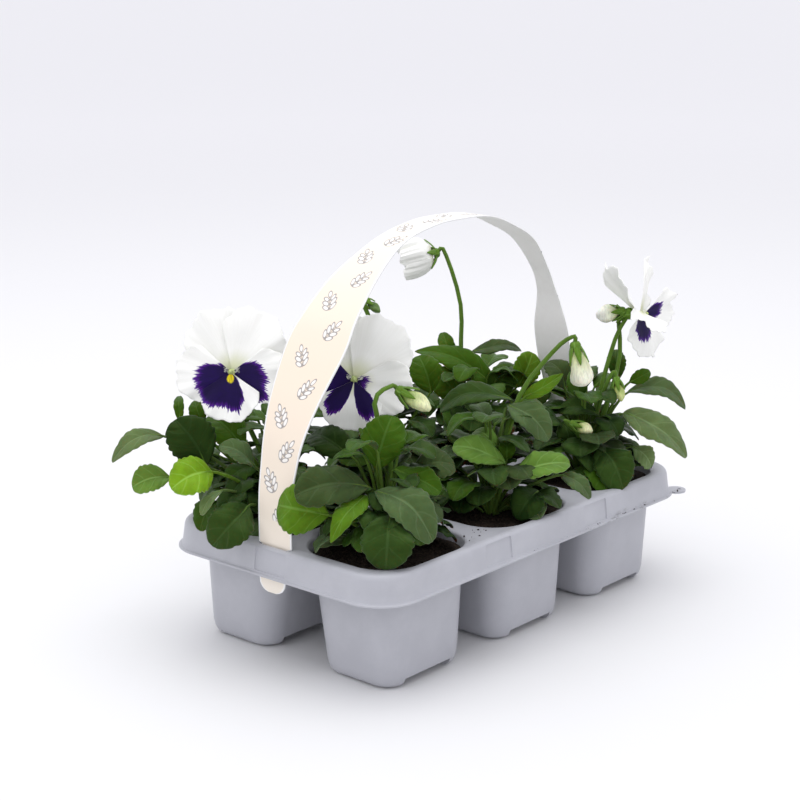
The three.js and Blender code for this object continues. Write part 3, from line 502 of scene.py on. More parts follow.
# How far a point lies inside or outside the rim of one leaf, as a share of the leaf's half width.
def printed_leaf(along, off, turn, long, wide):
    dx, dy = x - along, y - off
    c, s = cos(radians(turn)), sin(radians(turn))
    return length_of(dx * (c / long) + dy * (s / long), dy * (c / wide) - dx * (s / wide)) - 1.0


line = length_of(joined("MAXIMUM", abs(x + 1.2) - 4.6, 0.0), y)
filled = 1.0
for along, off, turn, long, wide in [(-3.4, 2.2, 42, 2.4, 1.15), (-0.2, 2.3, 42, 2.5, 1.2),
                                     (2.7, 2.0, 38, 2.1, 1.0), (5.6, 0, 0, 2.2, 1.1)]:
    rim = printed_leaf(along, off, turn, long, wide)
    line = joined("MINIMUM", line, abs(rim) * wide)
    filled = joined("MINIMUM", rim, filled)
middle = walked[-1] / 2
printed = 1 - ramp(abs(walk - middle), middle - BARE_END, middle - BARE_END + 1)
ink = (1 - ramp(line, 0.10, 0.30)) * printed
inner = (1 - ramp(filled, -0.1, 0.0)) * printed
paper = blend(warmth, (0.86, 0.83, 0.75), (0.86, 0.735, 0.60))
paper = blend(inner * 0.75, paper, (0.88, 0.87, 0.86))
paper = blend(ramp(abs(aside) - edge, -1.1, -0.8), paper, (0.90, 0.895, 0.885))
finish(shader, blend(ink * 0.72, paper, (0.12, 0.12, 0.135)))
grained(tree, shader, 700.0, 0.00003)
card_plain, tree, shader = surface("card_plain", 0.6, Specular_IOR_Level=0.3)
finish(shader, blend(patchy(tree, 260.0, 0.3), (0.93, 0.91, 0.89), (0.95, 0.935, 0.915)))
grained(tree, shader, 260.0, 0.00004)
clad(band, card_print, card_plain)
for face in band.data.polygons:
    outwards = face.normal.dot(face.center - Vector((0, 0, 0.11)))
    face.material_index = 0 if outwards > 0 else 1
smooth(band)
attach(band, "root")
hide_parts("handle_band")

# ---- Soil beds ---------------------------------------------------------------------------------
# Each cell is filled with very dark potting soil to a few millimetres under the deck. Its top is
# heaped and crumbly, with loose lumps, and it was pressed down round the neck of the plant.

# Heights of the plants' necks, and of the soil where it meets its cell.
NECK = 58
BED_RIM = 63.4
PLANTS = {"back_left": (-1, 1), "front_left": (-1, -1), "back_mid": (0, 1), "front_mid": (0, -1),
          "back_right": (1, 1), "front_right": (1, -1)}

potting_soil, tree, shader = surface("potting_soil", 0.95, Specular_IOR_Level=0.2)
damp = blend(patchy(tree, 700.0, 0.38), (0.010, 0.007, 0.005), (0.045, 0.030, 0.021))
crumbs = grained(tree, shader, 900.0, 0.0009)
finish(shader, blend(ramp(crumbs, 0.66, 0.74), damp, (0.11, 0.075, 0.045)))


# Joins pieces into one that keeps the first one's name.
def gather(name, parts):
    pick(*parts)
    if len(parts) > 1:
        bpy.ops.object.join()
    parts[0].name = name
    return parts[0]


# A copy of a piece with a mesh of its own, whose corners go to the given places.
def copy_of(master, places):
    twin = bpy.data.objects.new(master.name, master.data.copy())
    bpy.context.scene.collection.objects.link(twin)
    settle(twin, places)
    return twin


bpy.ops.mesh.primitive_ico_sphere_add(subdivisions=1, radius=1)
lump = bpy.context.object
lump.name = "soil_lump"
lump_corners = corners(lump)


def lump_at(place, size, dice):
    turn = Matrix.Rotation(dice.uniform(0, 6.3), 3, Vector((dice.random(), dice.random(), 0.4)))
    shape = lump_corners * [dice.uniform(0.6, 1.3) for _ in range(3)]
    shape = shape * np.array([[dice.uniform(0.75, 1.2)] for _ in shape])
    return copy_of(lump, (shape * size @ np.array(turn) + place) * MM)


def soil_height(x, y, dice_shift):
    return (1.3 * np.sin(0.33 * x + dice_shift) * np.cos(0.29 * y - dice_shift)
            + 0.6 * np.sin(0.9 * x - 0.6 * y + 2 * dice_shift) + 0.35 * np.sin(1.7 * x + 1.4 * y))


for k, (name, (column, row)) in enumerate(PLANTS.items()):
    dice = random.Random(70 + k)
    rings = [rounded_ring(x - 0.4, y - 0.4, r, z + 0.3, (column * PITCH, row * mid))
             for z, x, y, r, mid in CELL_INSIDE[:4]]
    rim = np.array(rounded_ring(35.8, 32.5, 20.6, BED_RIM, (column * PITCH, row * 40.35)))
    rings.append(rim)
    middle = np.array([column * PITCH, row * ROW, 65])
    for inwards in (0.03, 0.07, 0.12, 0.2, 0.3, 0.4, 0.5, 0.6, 0.7, 0.78, 0.86, 0.94):
        ring = rim + (middle - rim) * inwards
        heap = BED_RIM + 1.7 * min(1, inwards / 0.4) ** 0.7 - 2.5 * max(0, inwards - 0.72) / 0.28
        ring[:, 2] = heap + soil_height(ring[:, 0], ring[:, 1], k) * min(0.8, inwards * 4)
        rings.append(ring)
    bed = rolled("soil_bed_" + name, rings)
    lumps = []
    for _ in range(150):
        angle, out = dice.uniform(0, 2 * pi), sqrt(dice.uniform(0.05, 1))
        x, y = 33.5 * out * cos(angle), 30.5 * out * sin(angle)
        size = dice.choice([0.5, 0.7, 0.9, 1.2, 1.8])
        at = np.array([column * PITCH + x, row * ROW + y, 0])
        at[2] = 64.9 - 1.5 * out**4 + 0.8 * soil_height(at[0], at[1], k) + 0.25 * size
        lumps.append(lump_at(at, size, dice))
    bed = gather("soil_bed_" + name, [bed, *lumps])
    clad(bed, potting_soil)
    smooth(bed)
    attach(bed, "root")
    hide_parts("soil_" + name)

dice = random.Random(5)
spilt = []
for _ in range(46):
    x = dice.uniform(-20, 134) if dice.random() < 0.75 else dice.uniform(-60, -30)
    if x > -25:
        at = np.array([x, -82.0 + dice.uniform(0, 1.1), LIP + 1.55])
    else:
        at = np.array([x, dice.uniform(-72, -60), RIM + 0.12])
    spilt.append(lump_at(at, dice.choice([0.25, 0.3, 0.4, 0.55]), dice))
spilt_soil = gather("spilt_soil", spilt)
clad(spilt_soil, potting_soil)
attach(spilt_soil, "root")

# ---- Plants ------------------------------------------------------------------------------------
# Six young pansies. Each has one root neck, from which thin channelled stalks carry leaves with
# blunt teeth, some broad and round, some long and pointed, and longer stalks carry the flowers in
# green cups of five sepals. The leaves are waxy above, paler beneath, with light veins.

ROUND, BLUNT, LONG = 0, 0.55, 1
VIEWER = (222, 20)
TONES = {
    # The lime tone is the bright green made about twice as light: painted light on a leaf that lies in
    # shade.
    "lime": (0.180, 0.350, 0.014), "bright": (0.085, 0.185, 0.010), "young": (0.125, 0.240, 0.040),
    "fresh": (0.038, 0.096, 0.006), "mid": (0.034, 0.082, 0.010), "grey": (0.068, 0.112, 0.043),
    # The silver tone is the leaf's own grey-green made lighter and bluer by a painted sheen from the
    # overhead light.
    "silver": (0.110, 0.165, 0.062), "dusky": (0.038, 0.062, 0.022), "dark": (0.024, 0.054, 0.011),
    # The deep tone is a near-black green, painted shade for leaves that lie in shadow among the others.
    "deep": (0.010, 0.027, 0.006), "pale": (0.150, 0.225, 0.085),
}

# Leaves: end of the stalk and tip (turn from +X, reach and height from the plant's neck), width,
# tone, and for some the way the upper face looks (turn, lift), the rise of the arch and the form.
LEAVES = {
    "back_left": [
        ((145, 63, 59), (150, 92, 50), 13, "silver", (250, 60), 8, BLUNT),
        ((170, 47, 45), (160, 60, 71), 27, "deep", VIEWER, 2),
        ((180, 49, 45), (175, 72, 42), 25, "lime", (236, 46), 4),
        ((155, 61, 38), (155, 83, 36), 17, "young", (230, 45)),
        ((185, 46, 35), (185, 64, 27), 8, "pale"),
        ((205, 47, 29), (196, 70, 16), 25, "dark", (228, 38)),
        ((205, 36, 47), (186, 46, 61), 15, "grey", (260, 50)),
        ((175, 23, 51), (135, 37, 68), 22, "fresh", (235, 20)),
        ((125, 41, 60), (120, 47, 73), 10, "fresh", VIEWER),
        ((135, 53, 62), (125, 55, 77), 6, "fresh", VIEWER),
        ((75, 33, 40), (82, 60, 36), 20, "mid"),
        ((105, 36, 26), (100, 60, 20), 20.5, "dark"),
    ],
    "front_left": [
        ((190, 16, 45), (166, 56, 47), 25, "dusky", (235, 48), 4),
        ((200, 18, 44), (250, 47, 32), 24, "grey", (232, 50), 4),
        ((225, 31, 36), (221, 49, 15), 28, "dark", (225, 42)),
        ((176, 41, 35), (155, 62, 39), 27, "bright", (222, 15)),
        ((190, 20, 42), (187, 50, 30), 14, "bright", (215, 55), 3, LONG),
        ((160, 6, 51), (310, 3, 79), 24, "fresh", (222, 10), 2),
        ((275, 4, 52), (285, 31, 44), 16, "fresh", (215, 60)),
        ((350, 17, 45), (325, 36, 52), 20, "dusky", (230, 45)),
        ((95, 21, 53), (100, 48, 66), 20, "deep", (210, 50)),
        ((130, 13, 12), (138, 39, 11), 9, "pale", (215, 65), 0.5),
    ],
    "back_mid": [
        ((310, 27, 62), (320, 20, 84), 20, "fresh", VIEWER, 2),
        ((195, 21, 51), (180, 43, 42), 18, "grey", (220, 50)),
        ((60, 30, 38), (66, 66, 34), 22, "mid"),
        ((110, 30, 48), (114, 56, 42), 20, "mid"),
        ((85, 18, 60), (80, 42, 66), 18, "fresh"),
        ((350, 22, 41), (0, 41, 59), 19, "dark", (226, 25)),
    ],
    "front_mid": [
        ((245, 17, 39), (166, 26, 51), 21, "young", (218, 60)),
        ((250, 22, 34), (285, 46, 42), 19, "young", (232, 55)),
        ((265, 6, 45), (105, 11, 54), 10, "young", (225, 50)),
        ((260, 12, 38), (280, 9, 49), 10, "fresh", VIEWER),
        ((220, 18, 32), (185, 25, 34), 6, "young"),
        ((290, 40, 32), (285, 59, 25), 12, "grey", (240, 45)),
        ((280, 30, 23), (245, 33, 14), 20, "deep", (225, 40)),
        ((345, 10, 67), (290, 33, 56), 20, "grey", (232, 48)),
        ((345, 15, 69), (120, 29, 71), 17, "dark", (228, 62)),
        ((330, 18, 71), (325, 41, 84), 9, "bright", (250, 40), 3, LONG),
    ],
    "back_right": [
        ((305, 9, 50), (130, 39, 75), 20, "fresh", (232, 40), 5, LONG),
        ((310, 23, 49), (316, 33, 71), 18, "bright", VIEWER, 2),
        ((60, 15, 69), (345, 32, 75), 12, "dusky", (250, 60), 3, LONG),
        ((110, 20, 60), (100, 27, 82), 11, "fresh", VIEWER),
        ((15, 46, 40), (12, 84, 34), 23, "mid"),
        ((50, 34, 30), (48, 64, 22), 20.5, "dark"),
        ((90, 30, 44), (86, 60, 38), 20, "mid"),
        ((30, 24, 56), (26, 52, 60), 18, "fresh"),
        ((150, 12, 42), (140, 29, 61), 21, "fresh", (226, 25)),
        ((300, 8, 40), (318, 21, 63), 19, "mid", (226, 20)),
        ((325, 25, 33), (312, 44, 49), 18, "dark", (226, 30)),
    ],
    "front_right": [
        ((290, 24, 49), (286, 65, 30), 24, "silver", (245, 48), 6, BLUNT),
        ((320, 26, 58), (310, 61, 56), 17, "grey", (250, 55), 4, BLUNT),
        ((240, 21, 31), (245, 46, 15), 25, "dark", (222, 38)),
        ((300, 29, 27), (295, 42, 17), 14, "pale", (235, 40)),
        ((335, 23, 64), (350, 25, 82), 12, "mid", VIEWER),
        ((320, 27, 64), (315, 39, 71), 9, "fresh", VIEWER),
        ((180, 13, 30), (170, 16, 43), 14, "dark", VIEWER),
        ((195, 24, 16), (222, 36, 14), 12, "mid", (230, 50)),
        ((285, 10, 46), (150, 16, 51), 14, "dark", (225, 55)),
        ((345, 38, 34), (350, 66, 26), 22, "mid"),
        ((20, 30, 50), (12, 52, 52), 16, "mid"),
        ((120, 12, 60), (112, 22, 77), 17, "dusky", (232, 40)),
        ((200, 6, 56), (150, 8, 73), 13, "mid", (226, 24)),
        ((150, 17, 40), (168, 32, 48), 16, "dark", (225, 50)),
    ],
}

# Younger leaves inside each plant: seed, how many share a turn, first turn, span, lowest, highest,
# and which of the draws stand. LOW_INNER is one broader leaf near the soil: its seed, turn and draw.
INNER = {
    "back_left": (11, 6, 20, 300, 17, 46, (0, 1, 4, 5, 6, 7)),
    "front_left": (12, 6, 250, 220, 17, 46, (0, 1, 2, 3, 6, 7)),
    "back_mid": (13, 9, 0, 360, 17, 58, (0, 1, 3, 5, 6, 8, 9, 10, 11)),
    "front_mid": (14, 6, 300, 260, 17, 48, (0, 1, 2, 3, 4, 5)),
    "back_right": (15, 6, 60, 250, 17, 52, (0, 2, 3, 4, 5, 6)),
    "front_right": (16, 5, 310, 240, 17, 48, (0, 1, 2, 3, 4)),
}
LOW_INNER = {
    "back_left": (111, 250, 0), "front_left": (112, 330, 0), "front_mid": (114, 150, 2),
    "front_right": (116, 130, 0),
}


def polar(turn, reach, height):
    return np.array([reach * cos(radians(turn)), reach * sin(radians(turn)), height])


def facing(turn, lift):
    return np.append(cos(radians(lift)) * polar(turn, 1, 0)[:2], sin(radians(lift)))


def unit(v):
    return v / np.linalg.norm(v, axis=-1, keepdims=True)


# A flat leaf and a straight stalk, modelled once. A copy of one is bent to each place.
def flat_master(name, columns, rows):
    master = grid(name, columns, rows, lambda u, v: np.column_stack([2 * u - 1, v, 0 * u]))
    finish_with(master, "SOLIDIFY", thickness=1, offset=-1)
    in_edit(master, turn_outwards)
    return master


leaf_master = flat_master("leaf", 16, 54)
small_leaf_master = flat_master("small_leaf", 10, 28)
sepal_master = flat_master("sepal", 4, 8)
stalk_master = rolled("stalk", [
    [(cos(a) / MM, sin(a) / MM, level / MM) for a in np.arange(0, 6.2, pi / 4)]
    for level in np.linspace(0, 1, 15)])


# Shares of a leaf's length at which it is broadest, and of its stalk at which the blade starts.
BROADEST = 0.58
BLADE_START = 0.68


def leaf_outline(s, long):
    pointed = np.sin(pi * np.clip(s, 0, 1) ** 0.85).clip(0, 1) ** 0.7
    near = np.sin(pi / 2 * np.clip(s / BROADEST, 0, 1)) ** 0.9
    far = np.sqrt(np.clip(1 - (np.clip(s - BROADEST, 0, 1) / 0.43) ** 2, 0, 1))
    return long * pointed + (1 - long) * np.where(s < BROADEST, near, far)


def painted(piece, tone, under=None):
    amount = np.ones(len(piece.data.vertices)) if under is None else 1 - under
    mark(piece, "tone", "FLOAT_COLOR", "color",
         np.column_stack([np.broadcast_to(tone, (len(amount), 3)), amount]))
    return piece


def stalk_piece(path, thickness, tone):
    rest = corners(stalk_master)
    level = rest[:, 2]
    at = np.array([path(t) for t in level])
    ahead = unit(np.array([path(t + 0.01) for t in level]) - np.array([path(t - 0.01) for t in level]))
    side = unit(np.cross(ahead, np.tile([0.31, 0.35, 0.05], (len(level), 1))))
    over = np.cross(side, ahead)
    girth = np.interp(level, np.linspace(0, 1, len(thickness)), thickness)[:, None]
    return painted(copy_of(stalk_master, (
        at + girth * (rest[:, :1] * side + rest[:, 1:2] * over)) * MM), tone)


# One leaf with its stalk, in its plant's own place. It arches from the stalk to a tip that may hang,
# its sides rise from the midrib, roll over and wave, and it swells a little between its veins.
def leaf_pieces(root, dice, master, neck, tip, width, tone, face=None, arch=3, long=ROUND):
    tone = np.array(TONES[tone])
    rest = corners(master)
    start, end = polar(*neck), polar(*tip)
    length = np.linalg.norm(end - start)
    along = (end - start) / length
    up = facing(*(face or (neck[0] + 180, 70)))
    up = unit(up - up @ along * along)
    across = np.cross(up, along)
    s = 0.5 - 0.5 * np.cos(pi * rest[:, 1])
    t = rest[:, 0]
    under = np.clip(-rest[:, 2], 0, 1)
    teeth = 8 if width >= 21 else 7 if width >= 12 else 4
    bite = abs(np.sin(pi * (teeth * s + 0.35))) ** 0.6
    depth = 0.12 * np.clip(3.4 * s - 0.5, 0, 1) * np.clip(8 - 8 * s, 0, 1)
    envelope = 0.5 * width * leaf_outline(s, long)
    half = np.maximum(envelope * (1 - depth * (1 - bite) * abs(t) ** 5), 0.5)
    v = t * half
    shift = dice.uniform(0, 6)
    rise, waves = dice.uniform(0.05, 0.5), dice.uniform(0.02, 0.07) * width
    hang, twist, sway = dice.uniform(0, 0.28) * length, dice.uniform(-0.6, 0.6), dice.uniform(-0.08, 0.08)
    veins = abs(((s * length - 0.75 * abs(v)) / (length / 5.2)) % 1 - 0.5) * 2
    puff = 0.034 * width * (1 - veins**6) * np.clip(abs(v) / 4, 0, 1) * (1 - abs(t) ** 8)
    wave = waves * np.sin(2 * pi * 1.7 * s + shift + 2 * (t > 0)) * t**2 * np.sin(pi * s) ** 0.5
    wave = wave + 0.3 * waves * np.sin(2 * pi * 3.9 * s + 2 * shift) * t**4 * np.sin(pi * s) ** 0.5
    lift = (4 * arch * s * (1 - s) + rise * (np.sqrt(v**2 + 2) - 1.4) - (0.004 + 0.05 * rise) * v**2
            + puff + wave + twist * v * (s - 0.45) - hang * np.clip((s - 0.55) / 0.45, 0, 1) ** 2
            - 0.3 * np.exp(-(v / 0.8) ** 2))
    bowed = 4 * sway * length * s * (1 - s)
    places = (start + np.outer(s * length, along) + np.outer(v + bowed, across)
              + np.outer(lift - 0.45 * under, up))
    blade = painted(copy_of(master, (root + places) * MM), tone, under)

    begin = polar(neck[0], 2.4, 1 + 0.09 * neck[2])
    bend = np.array([start[0] * 0.4, start[1] * 0.4, begin[2] + (start[2] - begin[2]) * 0.72])

    def path(share):
        q = min(share / BLADE_START, 1)
        at = (1 - q) ** 2 * begin + 2 * q * (1 - q) * bend + q * q * start
        if share > BLADE_START:
            r = (share - BLADE_START) / 0.32 * 0.6
            at = at + along * r * length + up * (4 * arch * r * (1 - r) - 0.7 * min(1, 4 * r))
            at = at + across * 4 * sway * length * r * (1 - r)
        return root + at

    scale = 0.8 if master is small_leaf_master else 1
    stem = stalk_piece(path, [1.35 * scale, 1.15 * scale, 1.0 * scale, 0.62, 0.22],
                       tone * 0.45 + (0.075, 0.125, 0.022))
    return [blade, stem]


def lcg(seed):
    state = seed
    while True:
        state = (state * 1664525 + 1013904223) % 4294967296
        yield state / 4294967296


def drawn_leaves(seed, count, turn, span, low, high, standing, reach=12, broad=17, droop=0):
    draw = lcg(seed)
    for i in range(max(standing) + 1):
        a, b, c, d, e, f, g = (next(draw) for _ in range(7))
        around = turn + span * (i + a) / count
        height = low + (high - low) * ((i * 0.618 + 0.3 * b) % 1)
        out = reach * (0.8 + 0.5 * c)
        if i in standing:
            yield ((around, out, height),
                   (around + 16 * (e - 0.5), out + 19 + 6 * d, height + 5 * (f - 0.5) - droop),
                   broad + 3.5 * g)


def inner_leaves(name):
    yield from drawn_leaves(*INNER[name])
    if name in LOW_INNER:
        seed, turn, draw = LOW_INNER[name]
        yield from drawn_leaves(seed, 1, turn, 360, 16, 34, (draw,), reach=19, broad=20, droop=6)


# The leaves that fill a plant, in tiers from the soil up: how many, lowest and highest stalk end, its
# least and most reach, fall and rise of the tip, width, and tones. The plants of the front row leave
# their open side bare near the soil.
# The low tiers take the darkest tones, mostly the near-black one: painted shade among the leaves near the
# soil.
TIERS = [
    (13, (13, 21), (13, 24), (-3, 2), (18, 25), ("deep", "dark", "deep", "deep", "dusky")),
    (12, (24, 38), (10, 20), (-8, 3), (18, 25), ("dark", "deep", "mid", "dark", "dusky", "deep")),
    (8, (38, 52), (5, 12), (-4, 5), (14, 20), ("mid", "dark", "deep", "mid", "grey")),
    (7, (50, 64), (3, 12), (-2, 9), (13, 18), ("mid", "fresh", "dark", "grey", "mid")),
]


def filling_leaves(name, dice):
    front = name.startswith("front")
    for count, heights, reaches, rises, widths, tones in TIERS:
        for k in range(count):
            turn = (360 * (k + dice.random()) / count * 2) % 360
            height, out = dice.uniform(*heights), dice.uniform(*reaches)
            long = dice.uniform(16, 23)
            tip = (turn + dice.uniform(-14, 14), out + long, height + dice.uniform(*rises))
            row = ((turn, out, height), tip, dice.uniform(*widths), tones[k % len(tones)], None,
                   dice.uniform(1.5, 3.5))
            if not (front and heights[0] < 20 and 185 < turn < 300):
                yield row
    for neck, tip, width, *_ in LEAVES[name]:
        for share in (0.36, 0.62) if neck[1] > 27 else ():
            turn, out = neck[0] + dice.uniform(-16, 16), share * neck[1]
            height = neck[2] * (0.42 + 0.5 * share) + dice.uniform(-6, 1)
            tip = turn + dice.uniform(-18, 18), out + dice.uniform(16, 21), height + dice.uniform(-7, 1)
            yield ((turn, out, height), tip, dice.uniform(15, 20),
                   dice.choice(("dark", "mid", "grey", "deep")), None, 2.5)


# The way of a flower's stalk, a smooth curve through the given points.
def stalk_path(points):
    run = smooth_run(points, 12)
    return lambda t: np.array([np.interp(np.clip(t, 0, 1), np.linspace(0, 1, len(run)), run[:, i])
                               for i in range(3)])


# Flowers: kind, the eye's place, the way it faces (turn, lift), tilt, size or (length, radius), way
# points of the stalk, and the sepals' length, spread and cup radius. The name holds the plant's.
FLOWERS = {
    "bloom_back_left": ("open", (162, 27, 94), (212, 12), 0, 1,
        [(120, 8, 40), (125, 24, 78)], (11, 102, 3.2)),
    "bloom_front_left": ("open", (62, 50, 88), (226, 4), -10, 1.04,
        [(55, 18, 40), (60, 58, 70)], (11, 102, 3.2)),
    "bloom_front_right": ("open", (328, 33, 104.5), (298, 2), -8, 1,
        [(300, 10, 40), (330, 22, 76), (345, 25, 99)], (9, 150, 3.2)),
    "bud_back_right_tall": ("half", (108, 36, 131), (131, -14), 0, (23, 0),
        [(110, 12, 60), (90, 16, 100)], (11, 56, 3.2)),
    "bud_front_left": ("bud", (5, 20, 86), (311, -32), 0, (17, 4.6),
        [(10, 5, 50), (80, 10, 84)], (11, 26, 3.2)),
    "bud_front_mid": ("bud", (315, 47, 96), (300, -78), 0, (21, 6.4),
        [(335, 14, 66), (322, 34, 97)], (13, 18, 3.2)),
    "bud_front_right_pale": ("bud", (345, 20, 105), (131, -8), 0, (13.5, 5.3),
        [(330, 8, 50), (335, 20, 90)], (9, 24, 3.2)),
    "bud_front_right_low": ("bud", (285, 21, 63), (290, -75), 0, (11, 3.1),
        [(290, 6, 40), (280, 14, 66)], (8, 18, 2.4)),
    "bud_front_right_inner": ("bud", (212, 23, 43), (300, -20), 0, (10, 3.6),
        [(200, 8, 26), (205, 20, 38)], (7, 20, 2.6)),
    "bud_back_mid": ("bud", (65, 18, 111), (320, -40), 0, (9, 2.8),
        [(60, 6, 50), (70, 16, 98)], (6, 18, 2.3)),
}
HEART_BACK = -3.6
AXIS = np.array([0, 0, 1])


# Side, up and forward of a flower, as columns, and its eye.
def flower_frame(eye, face, tilt, root):
    forward = facing(*face)
    up = unit(AXIS - forward[2] * forward)
    up = np.array(Matrix.Rotation(radians(tilt), 3, Vector(forward)) @ Vector(up))
    return np.column_stack([np.cross(up, forward), up, forward]), root + polar(*eye)


def seated(shape, turned, at):
    return (shape @ turned.T + at) * MM


# Where the neck of the plant that a name holds leaves the soil.
def root_of(name):
    column, row = next(cell for plant, cell in PLANTS.items() if plant in name)
    return np.array([column * PITCH, row * ROW, NECK], float)


def cup_pieces(flower, root):
    _, eye, face, tilt, _, way, (length, spread, cup) = flower
    turned, at = flower_frame(eye, face, tilt, root)
    back = HEART_BACK - 0.35
    green = (0.120, 0.235, 0.030)
    rings = [[(r * cos(a), r * sin(a), z) for a in np.arange(0, 6.2, pi / 6)]
             for z, r in [(back - 4.2, 0.35 * cup), (back - 3.6, 0.8 * cup), (back - 2.2, cup),
                          (back - 0.7, cup), (back, 0.8 * cup)]]
    parts = [painted(rolled("cup", [np.array(ring) @ turned.T + at for ring in rings]), green)]
    lean = radians(spread)
    rest = corners(sepal_master)
    s = rest[:, 1]
    for i in range(5):
        out, side = polar(72 * i + 18, 1, 0), polar(72 * i + 108, 1, 0)
        run = sin(lean) * out + cos(lean) * AXIS
        keel = cos(lean) * out - sin(lean) * AXIS
        half = 0.62 * cup * np.interp(s, [0, 0.1, 0.42, 0.8, 1], [0.55, 0.8, 1, 0.5, 0.1])
        lift = 0.55 * np.sin(pi * s) - 0.3 * rest[:, 0] ** 2 + 0.45 * rest[:, 2]
        places = (0.62 * cup * out + (back - 1.9) * AXIS
                  + np.outer((s - 0.12) * length, run) + np.outer(rest[:, 0] * half, side)
                  + np.outer(0.5 + lift, keel))
        parts.append(painted(copy_of(sepal_master, seated(places, turned, at)), green))
    neck, behind = (turned @ (0, 0, back - gap) + at for gap in (2.5, 7))
    points = [root + (0, 0, 3), *(root + polar(*p) for p in way), behind, neck]
    parts.append(stalk_piece(stalk_path(points), [1.7, 1.5, 1.35, 1.25, 1.2], (0.10, 0.19, 0.03)))
    return parts


leaf_skin, tree, shader = surface("leaf_skin", 0.44, Specular_IOR_Level=0.28, Subsurface_Weight=0.12,
                                  Subsurface_Scale=0.002, Specular_Tint=(0.45, 0.75, 0.12, 1))
tone, upper = marked(tree, "tone", ("Color", "Alpha"))
u, v, _ = split(node(tree, "ShaderNodeUVMap"))
beside = abs(u - 0.5)
midrib = 1 - ramp(beside, 0.010, 0.040)
wander = noise(here(tree), 130, 2) * 0.5
saw = abs(joined("FRACT", (v - beside * 0.42) * 5.2 + wander) - 0.5)
side_veins = 1 - ramp(saw, 0.02, 0.075)
# A thin lighter band along the leaf's rim is a painted highlight; the midrib and side veins are the leaf's
# own paler colour.
rim_highlight = ramp(beside, 0.465, 0.495)
veins = joined("MAXIMUM", midrib, side_veins * 0.45)


# A leaf's own colour made lighter or darker, and fuller or paler.
def shaded(tree, value, fullness, colour):
    return node(tree, "ShaderNodeHueSaturation", {"Value": value, "Saturation": fullness, "Color": colour})


skin = blend(patchy(tree, 90.0, 0.3, 0.72), shaded(tree, 0.72, 1.0, tone), tone)
# The paler veins and the painted rim highlight lighten the skin.
veins_and_rim_highlight = joined("MAXIMUM", veins, rim_highlight * 0.7) * 0.55
veined = blend(veins_and_rim_highlight, skin, shaded(tree, 1.6, 0.85, tone))
finish(shader, blend(upper, shaded(tree, 1.5, 0.72, tone), veined))
finish(shader, bump(noise(here(tree), 420, 3) - veins * 0.9, 0.0006, 0.35), "Normal")

for name in PLANTS:
    dice = random.Random(name)
    root = root_of(name)
    parts = []
    for row in LEAVES[name]:
        parts += leaf_pieces(root, dice, leaf_master, *row)
    for k, row in enumerate(inner_leaves(name)):
        parts += leaf_pieces(root, dice, leaf_master, *row, ("mid", "dark", "fresh")[k % 3])
    for row in filling_leaves(name, dice):
        parts += leaf_pieces(root, dice, small_leaf_master, *row)
    for flower, row in FLOWERS.items():
        if name in flower:
            parts += cup_pieces(row, root)
    crown = post(4, NECK - 12, NECK + 6, root[0], root[1], 12)
    parts.append(painted(crown, (0.09, 0.13, 0.03)))
    plant = gather("pansy_plant_" + name, parts)
    clad(plant, leaf_skin)
    smooth(plant)
    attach(plant, "root")
    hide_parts("foliage_" + name)

# ---- Flowers and buds --------------------------------------------------------------------------
# Open pansies with two big upper petals, one at each side and a lip in front, all thin, white and
# ruffled. The side petals and the lip have a near-black violet blotch that is frayed at its rim,
# and a yellow eye. Closed buds are petals rolled round each other, cream with green at the base.

petal_white, tree, shader = surface("petal_white", 0.62, Specular_IOR_Level=0.14, Sheen_Weight=0.04,
                                    Subsurface_Weight=0.2, Subsurface_Scale=0.003,
                                    Subsurface_Radius=(1, 1, 1))
marks, upper = marked(tree, "tone", ("Color", "Alpha"))
reach_of_violet, reach_of_yellow, own = node(tree, "ShaderNodeSeparateColor", {0: marks}, (0, 1, 2))
u, v, _ = split(node(tree, "ShaderNodeUVMap"))


# Streaks that run out along a petal: fine across it and long along it, different on each petal.
def streaks(fineness, length):
    return noise(node(tree, "ShaderNodeCombineXYZ", {
        0: u * fineness, 1: v * length, 2: own * 40.0}), 1.0, 3, 0.65)


fray = (streaks(46, 1.2) - 0.5) * 0.36
bays = (streaks(9, 0.6) - 0.5) * 0.16
inside = reach_of_violet + (fray + bays) - v
blotch = ramp(inside, -0.010, 0.012) * ramp(reach_of_violet, 0.12, 0.2) * upper
white = blend(ramp(streaks(50, 1.5), 0.2, 0.8), (0.89, 0.89, 0.84), (0.93, 0.93, 0.89))
creamy = blend(ramp(v, 0.05, 0.4), (0.66, 0.68, 0.46), white)
violet = blend(ramp(inside, 0.0, 0.14), (0.058, 0.007, 0.22), (0.006, 0.001, 0.036))
eye = ramp(reach_of_yellow + fray * 0.3 - v, -0.01, 0.02) * ramp(reach_of_yellow, 0.04, 0.09)
honey = blend(ramp(streaks(9, 0.5), 0.55, 0.62), (0.72, 0.58, 0.012), (0.12, 0.07, 0.02))
finish(shader, blend(eye, blend(blotch, creamy, violet), honey))
finish(shader, bump(streaks(26, 2), 0.0006, 0.16), "Normal")

flower_heart, tree, shader = surface("flower_heart", 0.55, Subsurface_Weight=0.1)
finish(shader, blend(noise(here(tree), 900, 2), (0.30, 0.40, 0.10), (0.62, 0.66, 0.30)))
beard_white, tree, shader = surface("beard_white", 0.7)
finish(shader, blend(noise(here(tree), 600, 2), (0.80, 0.82, 0.66), (0.92, 0.92, 0.86)))

petal_master = flat_master("petal", 40, 26)


